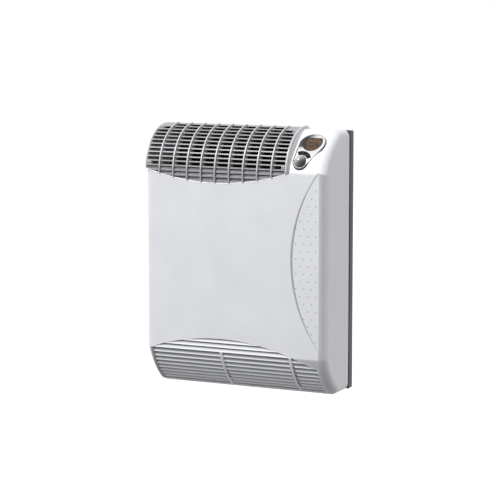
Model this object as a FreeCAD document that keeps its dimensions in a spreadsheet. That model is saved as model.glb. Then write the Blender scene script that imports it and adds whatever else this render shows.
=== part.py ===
import FreeCAD, Part
import math
import os
import re
import Sketcher

# A wall-hung, room-sealed gas heater. A shaped steel cover with an outlet grille on its
# upper shoulder, an intake grille on its chin and a control panel beside the outlet stands
# on a dark rear frame. Inside are a burner and finned heat exchanger, a cross-flow fan that
# drives room air past it, a small blower for the combustion air, the gas train and the
# electronics.
#
# Millimetres. The origin is the middle of the wall face. X runs to the right of someone
# who faces the heater, Y runs into the wall and Z runs up. Pieces are laid out from the
# casing's front foot, the middle of the lowest line of its front: to the right, to the
# wall and up.

SIZES = {
    # Casing
    "width": 560,
    "height": 740,
    "cover_depth": 170,
    "frame_depth": 25,
    "cover_wall": 1.5,
    "lower_fold": 111,
    "shoulder_height": 115,
    "shoulder_depth": 105,
    "shoulder_radius": 188,
    "chin_depth": 87,
    "chin_radius": 215,
    "fold_bend": 22,
    "back_radius": 12,
    "rim_return": 4,
    "edge_radius": 22,
    "seat_gap": 0.3,
    "overrun": 6,
    "swoosh_radius": 404,
    "swoosh_reach": 107,
    "swoosh_rise": 385,
    "swoosh_depth": 1.6,
    # Rear frame
    "frame_wall": 2,
    "frame_inset": 2,
    "frame_top_drop": 5,
    "frame_foot_rise": 3,
    "shadow_gap": 3,
    "lip_reach": 12,
    "lip_wall": 1.5,
    "frame_corner": 4,
    "wall_hole_radius": 4,
    "wall_hole_spread": 440,
    "wall_hole_rise": 600,
    # Outlet grille
    "grille_left_margin": 1,
    "grille_right_margin": 119.5,
    "grille_axis_depth": 130,
    "grille_axis_drop": 126,
    "grille_radius": 130.5,
    "grille_thickness": 11,
    "grille_foot_angle": 17,
    "grille_top_angle": 96,
    "grille_gap_angle": 0.4,
    "rib_proud": 4,
    "rib_top_angle": 86,
    "rib_width": 3.4,
    "rib_depth": 20,
    "cheek_width": 8,
    "cheek_drop": 9,
    "slot_angle": 20,
    "slot_height": 9,
    "slot_pitch": 12.7,
    "slot_first_drop": 19,
    "slot_root": 35,
    "lens_drop": 35,
    "groove_top_angle": 7.8,
    "groove_pitch_angle": 5.8,
    "groove_span_angle": 4.2,
    "groove_depth": 5,
    "boss_width": 13,
    "screw_head_radius": 3.6,
    "screw_head_height": 2.2,
    "screw_radius": 1.9,
    "screw_length": 12,
    # Intake grille
    "intake_left_margin": 12,
    "intake_right_margin": 27,
    "intake_crown": 152,
    "intake_crown_place": -43,
    "intake_crown_radius": 667,
    "intake_foot": 5,
    "louvre_pitch": 13,
    "louvre_height": 10.3,
    "louvre_sink": 5,
    "louvre_wall": 1.5,
    "chin_louvre_sink": 7,
    "chin_louvre_rise_angle": 2.4,
    "divider_width": 8,
    "divider_depth": 12,
    "left_divider": -42,
    "right_divider": 172,
    "intake_rail": 3,
    "intake_flange": 5,
    "intake_flange_reach": 150,
    "intake_flange_angle": 1.5,
    "intake_flange_inset": 20,
    # Control panel
    "panel_margin": 74,
    "panel_angle": 38.2,
    "lobe_shift": 10.2,
    "lobe_reach": 29.5,
    "low_lobe_radius": 22,
    "high_lobe_radius": 38,
    "bezel_width": 2.6,
    "bezel_proud": 3,
    "bezel_sink": 3,
    "fascia_proud": 0.8,
    "fascia_gap": 0.2,
    "window_radius": 29,
    "window_chord": 19,
    "window_rise": 3.3,
    "window_thickness": 2,
    "window_sink": 0.6,
    "knob_radius": 17.6,
    "knob_gap": 0.6,
    "knob_skirt": 4,
    "knob_wall": 2,
    "knob_boss_radius": 5.5,
    "knob_press": 1.5,
    "plunger_radius": 3,
    "running_gap": 0.05,
    "key_inner_radius": 20,
    "key_outer_radius": 31.5,
    "key_first_angle": 25,
    "key_span_angle": 26.5,
    "key_step_angle": 31,
    "key_proud": 1.3,
    "key_gap": 0.4,
    "key_flange": 0.6,
    "key_flange_height": 1,
    "key_travel": 1.2,
    "stem_radius": 1.6,
    "board_depth": 24,
    "board_thickness": 1.6,
    "switch_height": 3.2,
    "switch_side": 6,
    "encoder_radius": 8,
    "encoder_height": 9,
    "housing_depth": 34,
    "housing_wall": 1.8,
    "housing_rim": 4,
    "housing_rim_depth": 15,
    "module_width": 46,
    "module_length": 40,
    "module_height": 13,
    # Cross-flow fan
    "fan_left_margin": 80,
    "fan_right_margin": 130,
    "fan_axis_depth": 110,
    "fan_axis_rise": 88,
    "rotor_radius": 45,
    "rotor_inner_radius": 35,
    "rotor_disc": 2,
    "rotor_hub_radius": 9,
    "rotor_hub_length": 14,
    "blade_wall": 1,
    "blade_bow": 13,
    "blade_sweep_angle": 9,
    "fan_shaft_radius": 4,
    "scroll_gap": 5,
    "scroll_wall": 1.2,
    "scroll_top": 150,
    "tongue_length": 26,
    "end_plate_wall": 1.5,
    "end_plate_gap": 4,
    "bearing_radius": 10,
    "bearing_length": 12,
    "motor_radius": 32,
    "motor_length": 48,
    "motor_chamfer": 5,
    "motor_boss_radius": 12,
    "motor_boss_length": 3,
    # Heat exchanger and burner
    "chamber_left_margin": 65,
    "chamber_right_margin": 130,
    "chamber_front": 66,
    "chamber_depth": 70,
    "chamber_foot": 200,
    "chamber_height": 340,
    "chamber_wall": 3,
    "fin_height": 26,
    "fin_wall": 2,
    "fin_margin": 8,
    "fin_trim": 14,
    "tray_thickness": 5,
    "gasket_thickness": 2,
    "gasket_width": 6,
    "air_port_length": 52,
    "air_port_width": 34,
    "burner_radius": 15,
    "burner_wall": 1.5,
    "burner_end_gap": 44,
    "burner_rise": 24,
    "burner_slot_width": 2,
    "burner_slot_length": 9,
    "injector_radius": 8,
    "injector_length": 14,
    "electrode_radius": 1.5,
    "electrode_length": 62,
    "ceramic_radius": 4.5,
    "ceramic_length": 30,
    "electrode_flange": 8,
    "electrode_place": 60,
    "sensor_place": -120,
    "thermostat_radius": 12,
    "thermostat_height": 10,
    "bracket_wall": 3,
    "bracket_height": 22,
    "insulation_thickness": 10,
    "shield_front": 22,
    "shield_wall": 1,
    "shield_foot": 160,
    "shield_height": 425,
    "shield_margin": 10,
    "shield_return": 50,
    "deflector_radius": 118,
    "deflector_wall": 1,
    "deflector_foot_drop": 152,
    "deflector_turn_angle": 84,
    # Combustion air and flue
    "flue_margin": 62,
    "intake_rise": 420,
    "exhaust_rise": 515,
    "flue_bore_radius": 25,
    "flue_socket_wall": 2.5,
    "flue_socket_depth": 42,
    "flue_flange_radius": 36,
    "flue_flange_thickness": 3,
    "flue_tube_radius": 20,
    "flue_tube_wall": 1.5,
    "flue_bend": 34,
    "blower_radius": 48,
    "blower_wall": 2,
    "impeller_radius": 38,
    "impeller_depth": 26,
    "impeller_eye": 20,
    "impeller_gap": 4,
    "blower_shaft_radius": 3,
    "blower_hub_radius": 8,
    "blower_motor_radius": 29,
    "blower_motor_length": 40,
    "duct_width": 30,
    "duct_wall": 1.5,
    "duct_outlet_rise": 350,
    "duct_foot": 162,
    # Gas train
    "gas_margin": 46,
    "gas_depth": 146,
    "nipple_radius": 10.5,
    "nipple_bore": 7,
    "nipple_length": 15,
    "union_radius": 13,
    "union_height": 12,
    "gas_hole_radius": 17,
    "gas_pipe_radius": 7,
    "gas_pipe_wall": 1.2,
    "valve_width": 52,
    "valve_depth": 46,
    "valve_height": 58,
    "valve_foot": 205,
    "coil_radius": 13,
    "coil_height": 26,
    "manifold_radius": 4,
    "manifold_bend": 12,
    "manifold_clearance": 9,
    # Electronics
    "tray_left_margin": 108,
    "tray_right_margin": 22,
    "tray_front": 130,
    "tray_foot": 20,
    "tray_height": 128,
    "tray_wall": 1.2,
    "main_board_margin": 6,
    "main_board_rise": 26,
    "standoff": 7,
    "standoff_radius": 3,
    "terminal_length": 64,
    "terminal_height": 14,
    "terminal_depth": 18,
    "gland_radius": 8,
    "gland_flange_radius": 11,
    "gland_bore": 3.5,
    "gland_length": 14,
    "gland_margin": 88,
    "gland_rise": 60,
    "pressure_switch_radius": 22,
    "pressure_switch_depth": 18,
    "pressure_switch_rise": 318,
    "spark_width": 44,
    "spark_height": 18,
    "spark_depth": 22,
    "spark_rise": 346,
    # Cover fixing
    "tab_margin": 80,
    "tab_width": 26,
    "tab_reach": 30,
    "tab_wall": 1.5,
    "cover_screw_length": 7,
}

COUNTS = {
    "grille_columns": 10,
    "grille_rows": 11,
    "apron_grooves": 3,
    "front_louvres": 3,
    "chin_louvres": 9,
    "rotor_blades": 26,
    "impeller_blades": 12,
    "fins": 30,
    "burner_slots": 26,
    "key_count": 3,
}

# Places that follow the casing's size, each worked out from a margin of its own.
PLACES = {
    "upper_fold": "height - shoulder_height",
    "grille_left": "grille_left_margin - width / 2",
    "grille_right": "width / 2 - grille_right_margin",
    "grille_axis_rise": "height - grille_axis_drop",
    "intake_left": "intake_left_margin - width / 2",
    "intake_right": "width / 2 - intake_right_margin",
    "panel_place": "width / 2 - panel_margin",
    "fan_left": "fan_left_margin - width / 2",
    "fan_length": "width - fan_left_margin - fan_right_margin",
    "chamber_left": "chamber_left_margin - width / 2",
    "chamber_right": "width / 2 - chamber_right_margin",
    "burner_length": "chamber_right - chamber_left - chamber_wall - burner_end_gap",
    "deflector_foot": "height - deflector_foot_drop",
    "flue_place": "width / 2 - flue_margin",
    "gas_place": "width / 2 - gas_margin",
    "tray_left": "width / 2 - tray_left_margin",
    "tray_right": "width / 2 - tray_right_margin",
    "gland_place": "width / 2 - gland_margin",
    "tab_place": "width / 2 - tab_margin",
}

CW = "clockwise"
CCW = "counterclockwise"
UPRIGHT = FreeCAD.Rotation()
ALONG_X = FreeCAD.Rotation(FreeCAD.Vector(0, 0, 1), FreeCAD.Vector(1, 0, 0))
ALONG_Y = FreeCAD.Rotation(FreeCAD.Vector(0, 0, 1), FreeCAD.Vector(0, 1, 0))

document = FreeCAD.newDocument("gas_heater")
sheet = document.addObject("Spreadsheet::Sheet", "Sizes")
pieces = []


# Sizes and expressions

def fill_sheet():
    """Writes every driving size into the sheet, with its name as the cell's alias."""
    for row, (name, amount) in enumerate({**SIZES, **COUNTS}.items(), start=1):
        sheet.set("A%d" % row, name)
        sheet.set("B%d" % row, str(amount))
        sheet.setAlias("B%d" % row, name)
    document.recompute()


def linked(text):
    """The expression with every size's name pointed at its cell, and its places worked out."""
    def point(found):
        word = found.group()
        if word in PLACES:
            return "(%s)" % linked(PLACES[word])
        return "Sizes." + word if word in SIZES or word in COUNTS else word
    return re.sub(r"[a-z][a-z_]*", point, text)


def value(text):
    """The present value of an expression of the sizes."""
    return float(sheet.evalExpression(linked(text)))


def vector(x, y, z="0"):
    return FreeCAD.Vector(value(x), value(y), value(z))


# Placing pieces

def place(item, right, depth, rise, turn=UPRIGHT):
    """Places an item from the casing's front foot: to the right, to the wall and up."""
    item.Placement = FreeCAD.Placement(FreeCAD.Vector(), turn)
    item.setExpression("Placement.Base.x", linked(right))
    item.setExpression("Placement.Base.y", linked("(%s) - cover_depth - frame_depth" % depth))
    item.setExpression("Placement.Base.z", linked("(%s) - height / 2" % rise))
    return item


def new_body(label, right="0", depth="0", rise="0", turn=UPRIGHT):
    """An empty body that becomes one piece of the heater."""
    body = document.addObject("PartDesign::Body", label)
    body.Label = label
    pieces.append(body)
    return place(body, right, depth, rise, turn)


# Sketching

def origin_feature(body, role):
    return next(item for item in body.Origin.OriginFeatures if item.Role == role)


def sketch_on(body, plane, start):
    """A sketch on one of the body's origin planes, moved along the plane's axis to start."""
    sketch = body.newObject("Sketcher::SketchObject", "Outline")
    sketch.AttachmentSupport = [(origin_feature(body, plane + "_Plane"), "")]
    sketch.MapMode = "FlatFace"
    sign = "-" if plane == "XZ" else ""
    sketch.setExpression("AttachmentOffset.Base.z", linked("%s(%s)" % (sign, start)))
    return sketch


def pin_point(sketch, geometry, end, x, y):
    """Ties a point of the sketch to its distances from the sketch's origin."""
    for kind, text in (("DistanceX", x), ("DistanceY", y)):
        index = sketch.addConstraint(
            Sketcher.Constraint(kind, -1, 1, geometry, end, value(text)))
        sketch.setExpression("Constraints[%d]" % index, linked(text))


def tie_radius(sketch, geometry, text):
    index = sketch.addConstraint(Sketcher.Constraint("Radius", geometry, value(text)))
    sketch.setExpression("Constraints[%d]" % index, linked(text))


def arc_between(start, end, radius, way):
    """The shorter arc from start to end, turning the given way."""
    span = end - start
    middle = (start + end) / 2
    rise = math.sqrt(max(radius * radius - span.Length * span.Length / 4, 0))
    side = FreeCAD.Vector(-span.y, span.x, 0).normalize()
    centre = middle + side * rise if way == CCW else middle - side * rise
    first, last = (start, end) if way == CCW else (end, start)
    circle_here = Part.Circle(centre, FreeCAD.Vector(0, 0, 1), radius)
    return Part.ArcOfCircle(circle_here, circle_here.parameter(first), circle_here.parameter(last))


def outline(*corners):
    """A closed outline. A corner is (x, y), or (x, y, radius, way) where an arc leaves it."""
    def draw(sketch):
        base = sketch.GeometryCount
        spots = [vector(corner[0], corner[1]) for corner in corners]
        ends = []
        for index, corner in enumerate(corners):
            start, end = spots[index], spots[(index + 1) % len(corners)]
            if len(corner) == 2:
                sketch.addGeometry(Part.LineSegment(start, end), False)
                ends.append((1, 2))
            else:
                sketch.addGeometry(arc_between(start, end, value(corner[2]), corner[3]), False)
                ends.append((1, 2) if corner[3] == CCW else (2, 1))
        for index, corner in enumerate(corners):
            after = (index + 1) % len(corners)
            sketch.addConstraint(Sketcher.Constraint(
                "Coincident", base + index, ends[index][1], base + after, ends[after][0]))
        for index, corner in enumerate(corners):
            pin_point(sketch, base + index, ends[index][0], corner[0], corner[1])
            if len(corner) > 2:
                tie_radius(sketch, base + index, corner[2])
    return draw


def circle(x, y, radius):
    def draw(sketch):
        index = sketch.addGeometry(
            Part.Circle(vector(x, y), FreeCAD.Vector(0, 0, 1), value(radius)), False)
        pin_point(sketch, index, 3, x, y)
        tie_radius(sketch, index, radius)
    return draw


def rectangle(left, right, low, high):
    return outline((left, low), (right, low), (right, high), (left, high))


def polar_point(radius, angle):
    """A corner at a radius from the origin, at an angle above the line that points forward."""
    return "-(%s) * cos(%s)" % (radius, angle), "(%s) * sin(%s)" % (radius, angle)


def sector(inner, outer, low, high):
    """A piece of a ring, seen from the right, between two angles above the forward line."""
    return outline(
        polar_point(outer, low) + (outer, CW),
        polar_point(outer, high),
        polar_point(inner, high) + (inner, CCW),
        polar_point(inner, low))


def axis_line(foot, head):
    """A construction line for a feature to turn about or to be repeated along."""
    def draw(sketch):
        index = sketch.addGeometry(Part.LineSegment(vector(*foot), vector(*head)), True)
        pin_point(sketch, index, 1, *foot)
        pin_point(sketch, index, 2, *head)
    return draw


def teardrop(inset):
    """The panel's outline: a small lobe below and a large lobe above, joined by tangents."""
    def draw(sketch):
        base = sketch.GeometryCount
        low = vector("-lobe_shift", "-lobe_reach")
        high = vector("lobe_shift", "lobe_reach")
        low_text = "low_lobe_radius - (%s)" % inset
        high_text = "high_lobe_radius - (%s)" % inset
        low_radius, high_radius = value(low_text), value(high_text)
        axis = high - low
        lean = math.acos((low_radius - high_radius) / axis.Length)
        heading = math.atan2(axis.y, axis.x)
        normals = [FreeCAD.Vector(math.cos(heading + turn), math.sin(heading + turn), 0)
                   for turn in (lean, -lean)]
        left_low, right_low = [low + normal * low_radius for normal in normals]
        left_high, right_high = [high + normal * high_radius for normal in normals]
        for centre, radius, first, last in (
                (low, low_radius, left_low, right_low), (high, high_radius, right_high, left_high)):
            ring = Part.Circle(centre, FreeCAD.Vector(0, 0, 1), radius)
            sketch.addGeometry(
                Part.ArcOfCircle(ring, ring.parameter(first), ring.parameter(last)), False)
        sketch.addGeometry(Part.LineSegment(right_low, right_high), False)
        sketch.addGeometry(Part.LineSegment(left_high, left_low), False)
        for one, one_end, other, other_end in (
                (0, 2, 2, 1), (2, 2, 1, 1), (1, 2, 3, 1), (3, 2, 0, 1)):
            sketch.addConstraint(Sketcher.Constraint(
                "Tangent", base + one, one_end, base + other, other_end))
        pin_point(sketch, base, 3, "-lobe_shift", "-lobe_reach")
        pin_point(sketch, base + 1, 3, "lobe_shift", "lobe_reach")
        tie_radius(sketch, base, low_text)
        tie_radius(sketch, base + 1, high_text)
    return draw


def spoke(radius, angle):
    """A corner at a radius from the origin, at an angle above the sketch's first axis."""
    return "(%s) * cos(%s)" % (radius, angle), "(%s) * sin(%s)" % (radius, angle)


# Features

def add_feature(body, kind, plane, start, shapes):
    sketch = sketch_on(body, plane, start)
    for draw in shapes:
        draw(sketch)
    feature = body.newObject("PartDesign::" + kind, kind)
    feature.Profile = sketch
    return feature


def pad(body, plane, start, length, *shapes):
    """Adds material along the plane's axis from start, over length."""
    feature = add_feature(body, "Pad", plane, start, shapes)
    feature.setExpression("Length", linked(length))
    feature.Reversed = plane == "XZ"
    document.recompute()
    return feature


def pocket(body, plane, start, length, *shapes):
    """Cuts material away along the plane's axis from start, over length."""
    before = body.Shape.Volume
    feature = add_feature(body, "Pocket", plane, start, shapes)
    feature.setExpression("Length", linked(length))
    feature.Reversed = plane != "XZ"
    document.recompute()
    if not body.Shape.Volume < before:
        raise RuntimeError("A pocket of %s cuts nothing" % body.Label)
    return feature


def turn_up(body, *corners):
    """Adds material turned about the body's own Z axis from (radius, height) corners."""
    feature = add_feature(body, "Revolution", "XZ", "0", [outline(*corners)])
    feature.ReferenceAxis = (feature.Profile[0], ["V_Axis"])
    document.recompute()
    return feature


def keep_tip(body, feature):
    document.recompute()
    body.Tip = feature
    document.recompute()
    return feature


def row_of(body, features, axis, length, count):
    """Repeats features in a row of that length, along X, Y, Z or their sketch's own line."""
    pattern = body.newObject("PartDesign::LinearPattern", "Row")
    pattern.Originals = features
    if axis in ("X", "Y", "Z"):
        pattern.Direction = (origin_feature(body, axis + "_Axis"), [""])
    else:
        pattern.Direction = (features[0].Profile[0], [axis])
    pattern.setExpression("Length", linked(length))
    pattern.setExpression("Occurrences", linked(count))
    return keep_tip(body, pattern)


def round_of(body, features, axis, count):
    """Repeats features evenly all round one of the body's axes."""
    pattern = body.newObject("PartDesign::PolarPattern", "Round")
    pattern.Originals = features
    pattern.Axis = (origin_feature(body, axis + "_Axis"), [""])
    pattern.setExpression("Occurrences", linked(count))
    return keep_tip(body, pattern)


def fan_of(body, features, step_angle, count):
    """Repeats features about the body's X axis, each a step further up from the front."""
    pattern = body.newObject("PartDesign::PolarPattern", "Fan")
    pattern.Originals = features
    pattern.Axis = (origin_feature(body, "X_Axis"), [""])
    pattern.Reversed = True
    pattern.Mode = "Spacing"
    pattern.setExpression("Offset", linked(step_angle))
    pattern.setExpression("Occurrences", linked(count))
    return keep_tip(body, pattern)


def round_edges(body, radius, chosen):
    """Rounds the edges of the body's last feature that the test chooses."""
    last = body.Tip
    names = ["Edge%d" % (index + 1)
             for index, edge in enumerate(last.Shape.Edges) if chosen(edge)]
    fillet = body.newObject("PartDesign::Fillet", "Rounding")
    fillet.Base = (last, names)
    fillet.setExpression("Radius", linked(radius))
    document.recompute()
    return fillet


def turned_about(body, kind, plane, start, axis_foot, axis_head, *corners):
    """A feature turned about a line in its own sketch: a Revolution adds, a Groove cuts."""
    sketch = sketch_on(body, plane, start)
    outline(*corners)(sketch)
    axis_line(axis_foot, axis_head)(sketch)
    feature = body.newObject("PartDesign::" + kind, kind)
    feature.Profile = sketch
    feature.ReferenceAxis = (sketch, ["Axis0"])
    document.recompute()
    return feature


def turned(label, right, depth, rise, turn, *corners):
    """A piece turned about its own axis from (radius, height) corners."""
    body = new_body(label, right, depth, rise, turn)
    turn_up(body, *corners)
    return body


def cut_from(label, base, *tools):
    """The base with the tools taken out of it, as one piece."""
    pieces.remove(base)
    for tool in tools:
        pieces.remove(tool)
    tool = tools[0]
    if len(tools) > 1:
        tool = document.addObject("Part::MultiFuse", "Tools")
        tool.Shapes = list(tools)
    cut = document.addObject("Part::Cut", label)
    cut.Base = base
    cut.Tool = tool
    cut.Label = label
    pieces.append(cut)
    document.recompute()
    return cut


def tube(label, stops, bend, outer, inner):
    """A bent tube along straight runs joined by tangent arcs, from points off the front foot."""
    radius, bore, curve = value(outer), value(inner), value(bend)
    spots = [vector(*stop) for stop in stops]
    edges, here = [], spots[0]
    for before, corner, after in zip(spots, spots[1:], spots[2:]):
        arrive, leave = (corner - before).normalize(), (after - corner).normalize()
        setback = curve * math.tan(arrive.getAngle(leave) / 2)
        first, last = corner - arrive * setback, corner + leave * setback
        inward = (leave - arrive).normalize()
        centre = corner + inward * (curve / math.cos(arrive.getAngle(leave) / 2))
        middle = centre - inward * curve
        edges.append(Part.makeLine(here, first))
        edges.append(Part.Arc(first, middle, last).toShape())
        here = last
    edges.append(Part.makeLine(here, spots[-1]))
    path = Part.Wire(edges)
    heading = (spots[1] - spots[0]).normalize()
    solids = []
    for size in (radius, bore):
        ring = Part.Wire([Part.makeCircle(size, spots[0], heading)])
        solids.append(path.makePipeShell([ring], True, True))
    piece = document.addObject("Part::Feature", label)
    piece.Shape = solids[0].cut(solids[1])
    piece.Label = label
    pieces.append(piece)
    return place(piece, "0", "0", "0")


# Front cover

TAB_MIDDLE = "cover_depth + shadow_gap - lip_reach - tab_reach / 2"


def near(number, text):
    return abs(number - value(text)) < 0.01


def casing_form(label, inset, back):
    """The casing's outer form, or its hollow, with its folds, side edges and back rim rounded."""
    body = new_body(label)
    front, top, foot = inset, "height - (%s)" % inset, inset
    half, far = "width / 2 - (%s)" % inset, "(%s) + edge_radius" % back
    pad(body, "YZ", "-(%s)" % half, "2 * (%s)" % half, outline(
        (front, "lower_fold"),
        (front, "upper_fold", "shoulder_radius - (%s)" % inset, CW),
        ("shoulder_depth", top),
        (far, top),
        (far, foot),
        ("chin_depth", foot, "chin_radius - (%s)" % inset, CW)))
    folds = ((front, "lower_fold"), (front, "upper_fold"), ("shoulder_depth", top),
             ("chin_depth", foot))

    def is_fold(edge):
        box = edge.BoundBox
        return box.XLength > box.YLength + box.ZLength and any(
            near(box.YMin, depth) and near(box.ZMin, rise) for depth, rise in folds)

    def is_side_edge(edge):
        box = edge.BoundBox
        return near(abs(box.XMin), half) and box.XLength < 0.01 and not near(box.YMin, far)

    def is_back_rim(edge):
        return near(edge.BoundBox.YMin, back)

    round_edges(body, "fold_bend", is_fold)
    round_edges(body, "edge_radius - (%s)" % inset, is_side_edge)
    pocket(body, "XZ", back, "edge_radius + overrun",
           rectangle("-width", "width", "-height", "2 * height"))
    round_edges(body, "back_radius - (%s)" % inset, is_back_rim)
    pocket(body, "XZ", "-overrun", "overrun + swoosh_depth + (%s)" % inset, swoosh(inset))
    return body


def swoosh(gap):
    """The sunk field at the front's right side, left of which a long arc runs."""
    edge = "width / 2 + overrun"
    radius = "swoosh_radius + (%s)" % gap
    half = "sqrt((%s) ^ 2 - (swoosh_radius - swoosh_reach - overrun) ^ 2)" % radius
    return outline(
        (edge, "swoosh_rise - " + half),
        (edge, "swoosh_rise + " + half, radius, CCW))


def front_cover():
    body = casing_form("cover_form", "0", "cover_depth")
    back_opening = "width / 2 - back_radius - rim_return"
    pocket(body, "XZ", "cover_depth - back_radius - cover_wall", "back_radius + overrun",
           rectangle("-(%s)" % back_opening, back_opening,
                     "back_radius + rim_return", "height - back_radius - rim_return"))
    pocket(body, "XZ", "-overrun", "overrun + edge_radius", lens("seat_gap"))
    pocket(body, "XY", "-overrun", "2 * overrun + cover_wall",
           circle("-tab_place", TAB_MIDDLE, "screw_radius + seat_gap"),
           circle("tab_place", TAB_MIDDLE, "screw_radius + seat_gap"))
    pocket(body, "XZ", "-overrun", "overrun + chin_depth + divider_depth",
           intake_outline("seat_gap"))
    pocket(body, "XY", "-overrun", "overrun + cover_wall + overrun", outline(
        ("gas_place - gas_hole_radius", "cover_depth + overrun"),
        ("gas_place - gas_hole_radius", "gas_depth", "gas_hole_radius", CCW),
        ("gas_place", "gas_depth - gas_hole_radius", "gas_hole_radius", CCW),
        ("gas_place + gas_hole_radius", "gas_depth"),
        ("gas_place + gas_hole_radius", "cover_depth + overrun")))
    hollow = casing_form("cover_hollow", "cover_wall", "cover_depth - cover_wall")
    outlet = new_body("outlet_opening", "0", "grille_axis_depth", "grille_axis_rise")
    pad(outlet, "YZ", "grille_left - overrun",
        "grille_right + cheek_width + seat_gap - grille_left + overrun",
        sector("grille_radius - rib_depth - seat_gap", "grille_radius + rib_proud + overrun",
               LENS_END_ANGLE + " - grille_gap_angle", "grille_top_angle + grille_gap_angle"))
    panel = panel_body("panel_opening")
    pad(panel, "XY", "-housing_depth", "housing_depth + overrun", teardrop("-seat_gap"))
    return cut_from("front_cover", body, hollow, outlet, panel)


def lens(gap):
    """The outlet's lower edge: everything above a shallow arc that dips below the upper fold."""
    half = "(grille_right - grille_left) / 2"
    drop = "lens_drop"
    radius = "((%s) ^ 2 + %s ^ 2) / (2 * %s) + (%s)" % (half, drop, drop, gap)
    left, right = "grille_left - (%s)" % gap, "grille_right + (%s)" % gap
    return outline(
        (left, "upper_fold", radius, CCW),
        (right, "upper_fold"),
        (right, "upper_fold + overrun"),
        (left, "upper_fold + overrun"))


def below_lens():
    """Everything of the outlet grille that lies under the lens-shaped edge."""
    half = "(grille_right - grille_left) / 2"
    radius = "((%s) ^ 2 + lens_drop ^ 2) / (2 * lens_drop)" % half
    level = "upper_fold - grille_axis_rise"
    foot = "-grille_radius"
    return outline(
        ("grille_left", level, radius, CCW),
        ("grille_right", level),
        ("grille_right + overrun", level),
        ("grille_right + overrun", foot),
        ("grille_left - overrun", foot),
        ("grille_left - overrun", level))


def intake_edge(place_text):
    """How high the intake's upper arc runs at a distance to the right."""
    return ("intake_crown - intake_crown_radius"
            " + sqrt(intake_crown_radius ^ 2 - (%s - intake_crown_place) ^ 2)" % place_text)


def intake_outline(gap):
    """The intake's opening: straight ends and foot under one long shallow arc."""
    left, right = "intake_left - (%s)" % gap, "intake_right + (%s)" % gap
    return outline(
        (left, "intake_foot - (%s)" % gap),
        (right, "intake_foot - (%s)" % gap),
        (right, intake_edge("(%s)" % right), "intake_crown_radius", CCW),
        (left, intake_edge("(%s)" % left)))


# Rear frame

def rear_frame():
    body = new_body("rear_frame")
    side = "width / 2 - frame_inset"
    foot, top = "frame_foot_rise", "height - frame_top_drop"
    rim_front = "cover_depth + shadow_gap"
    pad(body, "XZ", rim_front, "frame_depth - shadow_gap",
        rectangle("-(%s)" % side, side, foot, top))

    def is_corner(edge):
        return edge.BoundBox.YLength > edge.BoundBox.XLength + edge.BoundBox.ZLength

    round_edges(body, "frame_corner", is_corner)
    inner = "width / 2 - frame_inset - frame_wall"
    pocket(body, "XZ", rim_front + " - overrun", "frame_depth - shadow_gap - frame_wall + overrun",
           rectangle("-(%s)" % inner, inner, foot + " + frame_wall", top + " - frame_wall"))
    lip = "back_radius + rim_return + seat_gap"
    lip_inner = lip + " + lip_wall"
    pad(body, "XZ", rim_front, "frame_wall",
        rectangle("-(%s)" % side, side, foot, top),
        rectangle("-(width / 2 - (%s))" % lip_inner, "width / 2 - (%s)" % lip_inner,
                  lip_inner, "height - (%s)" % lip_inner))
    pad(body, "XZ", rim_front + " - lip_reach", "lip_reach",
        rectangle("-(width / 2 - (%s))" % lip, "width / 2 - (%s)" % lip,
                  lip, "height - (%s)" % lip),
        rectangle("-(width / 2 - (%s))" % lip_inner, "width / 2 - (%s)" % lip_inner,
                  lip_inner, "height - (%s)" % lip_inner))
    plate = "cover_depth + frame_depth - frame_wall - overrun"
    through = "frame_wall + 2 * overrun"
    for side_sign in ("-", ""):
        for rise_sign in ("-", "+"):
            pocket(body, "XZ", plate, through, circle(
                side_sign + "wall_hole_spread / 2",
                "height / 2 %s wall_hole_rise / 2" % rise_sign, "wall_hole_radius"))
    pocket(body, "XZ", plate, through,
           circle("flue_place", "intake_rise", "flue_bore_radius + flue_socket_wall"),
           circle("flue_place", "exhaust_rise", "flue_bore_radius + flue_socket_wall"),
           circle("gland_place", "gland_rise", "gland_radius"))
    return body


# Outlet grille

GRILLE_AXIS = ("grille_axis_depth", "grille_axis_rise")
GRILLE_BACK = "grille_radius - grille_thickness"
RIB_BACK = "grille_radius - rib_depth"
GRILLE_PITCH = "(grille_right - grille_left - rib_width) / grille_columns"
SLOT_LEFT = "grille_left + rib_width"
LENS_END_ANGLE = "asin((upper_fold - grille_axis_rise) / grille_radius) / 1 deg"
FIRST_ROW = "-slot_first_drop"
LAST_ROW = "(slot_pitch * (grille_rows - 1) - slot_first_drop)"
BOSS_ROW = "(slot_pitch * (grille_rows - 2) - slot_first_drop)"


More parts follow.
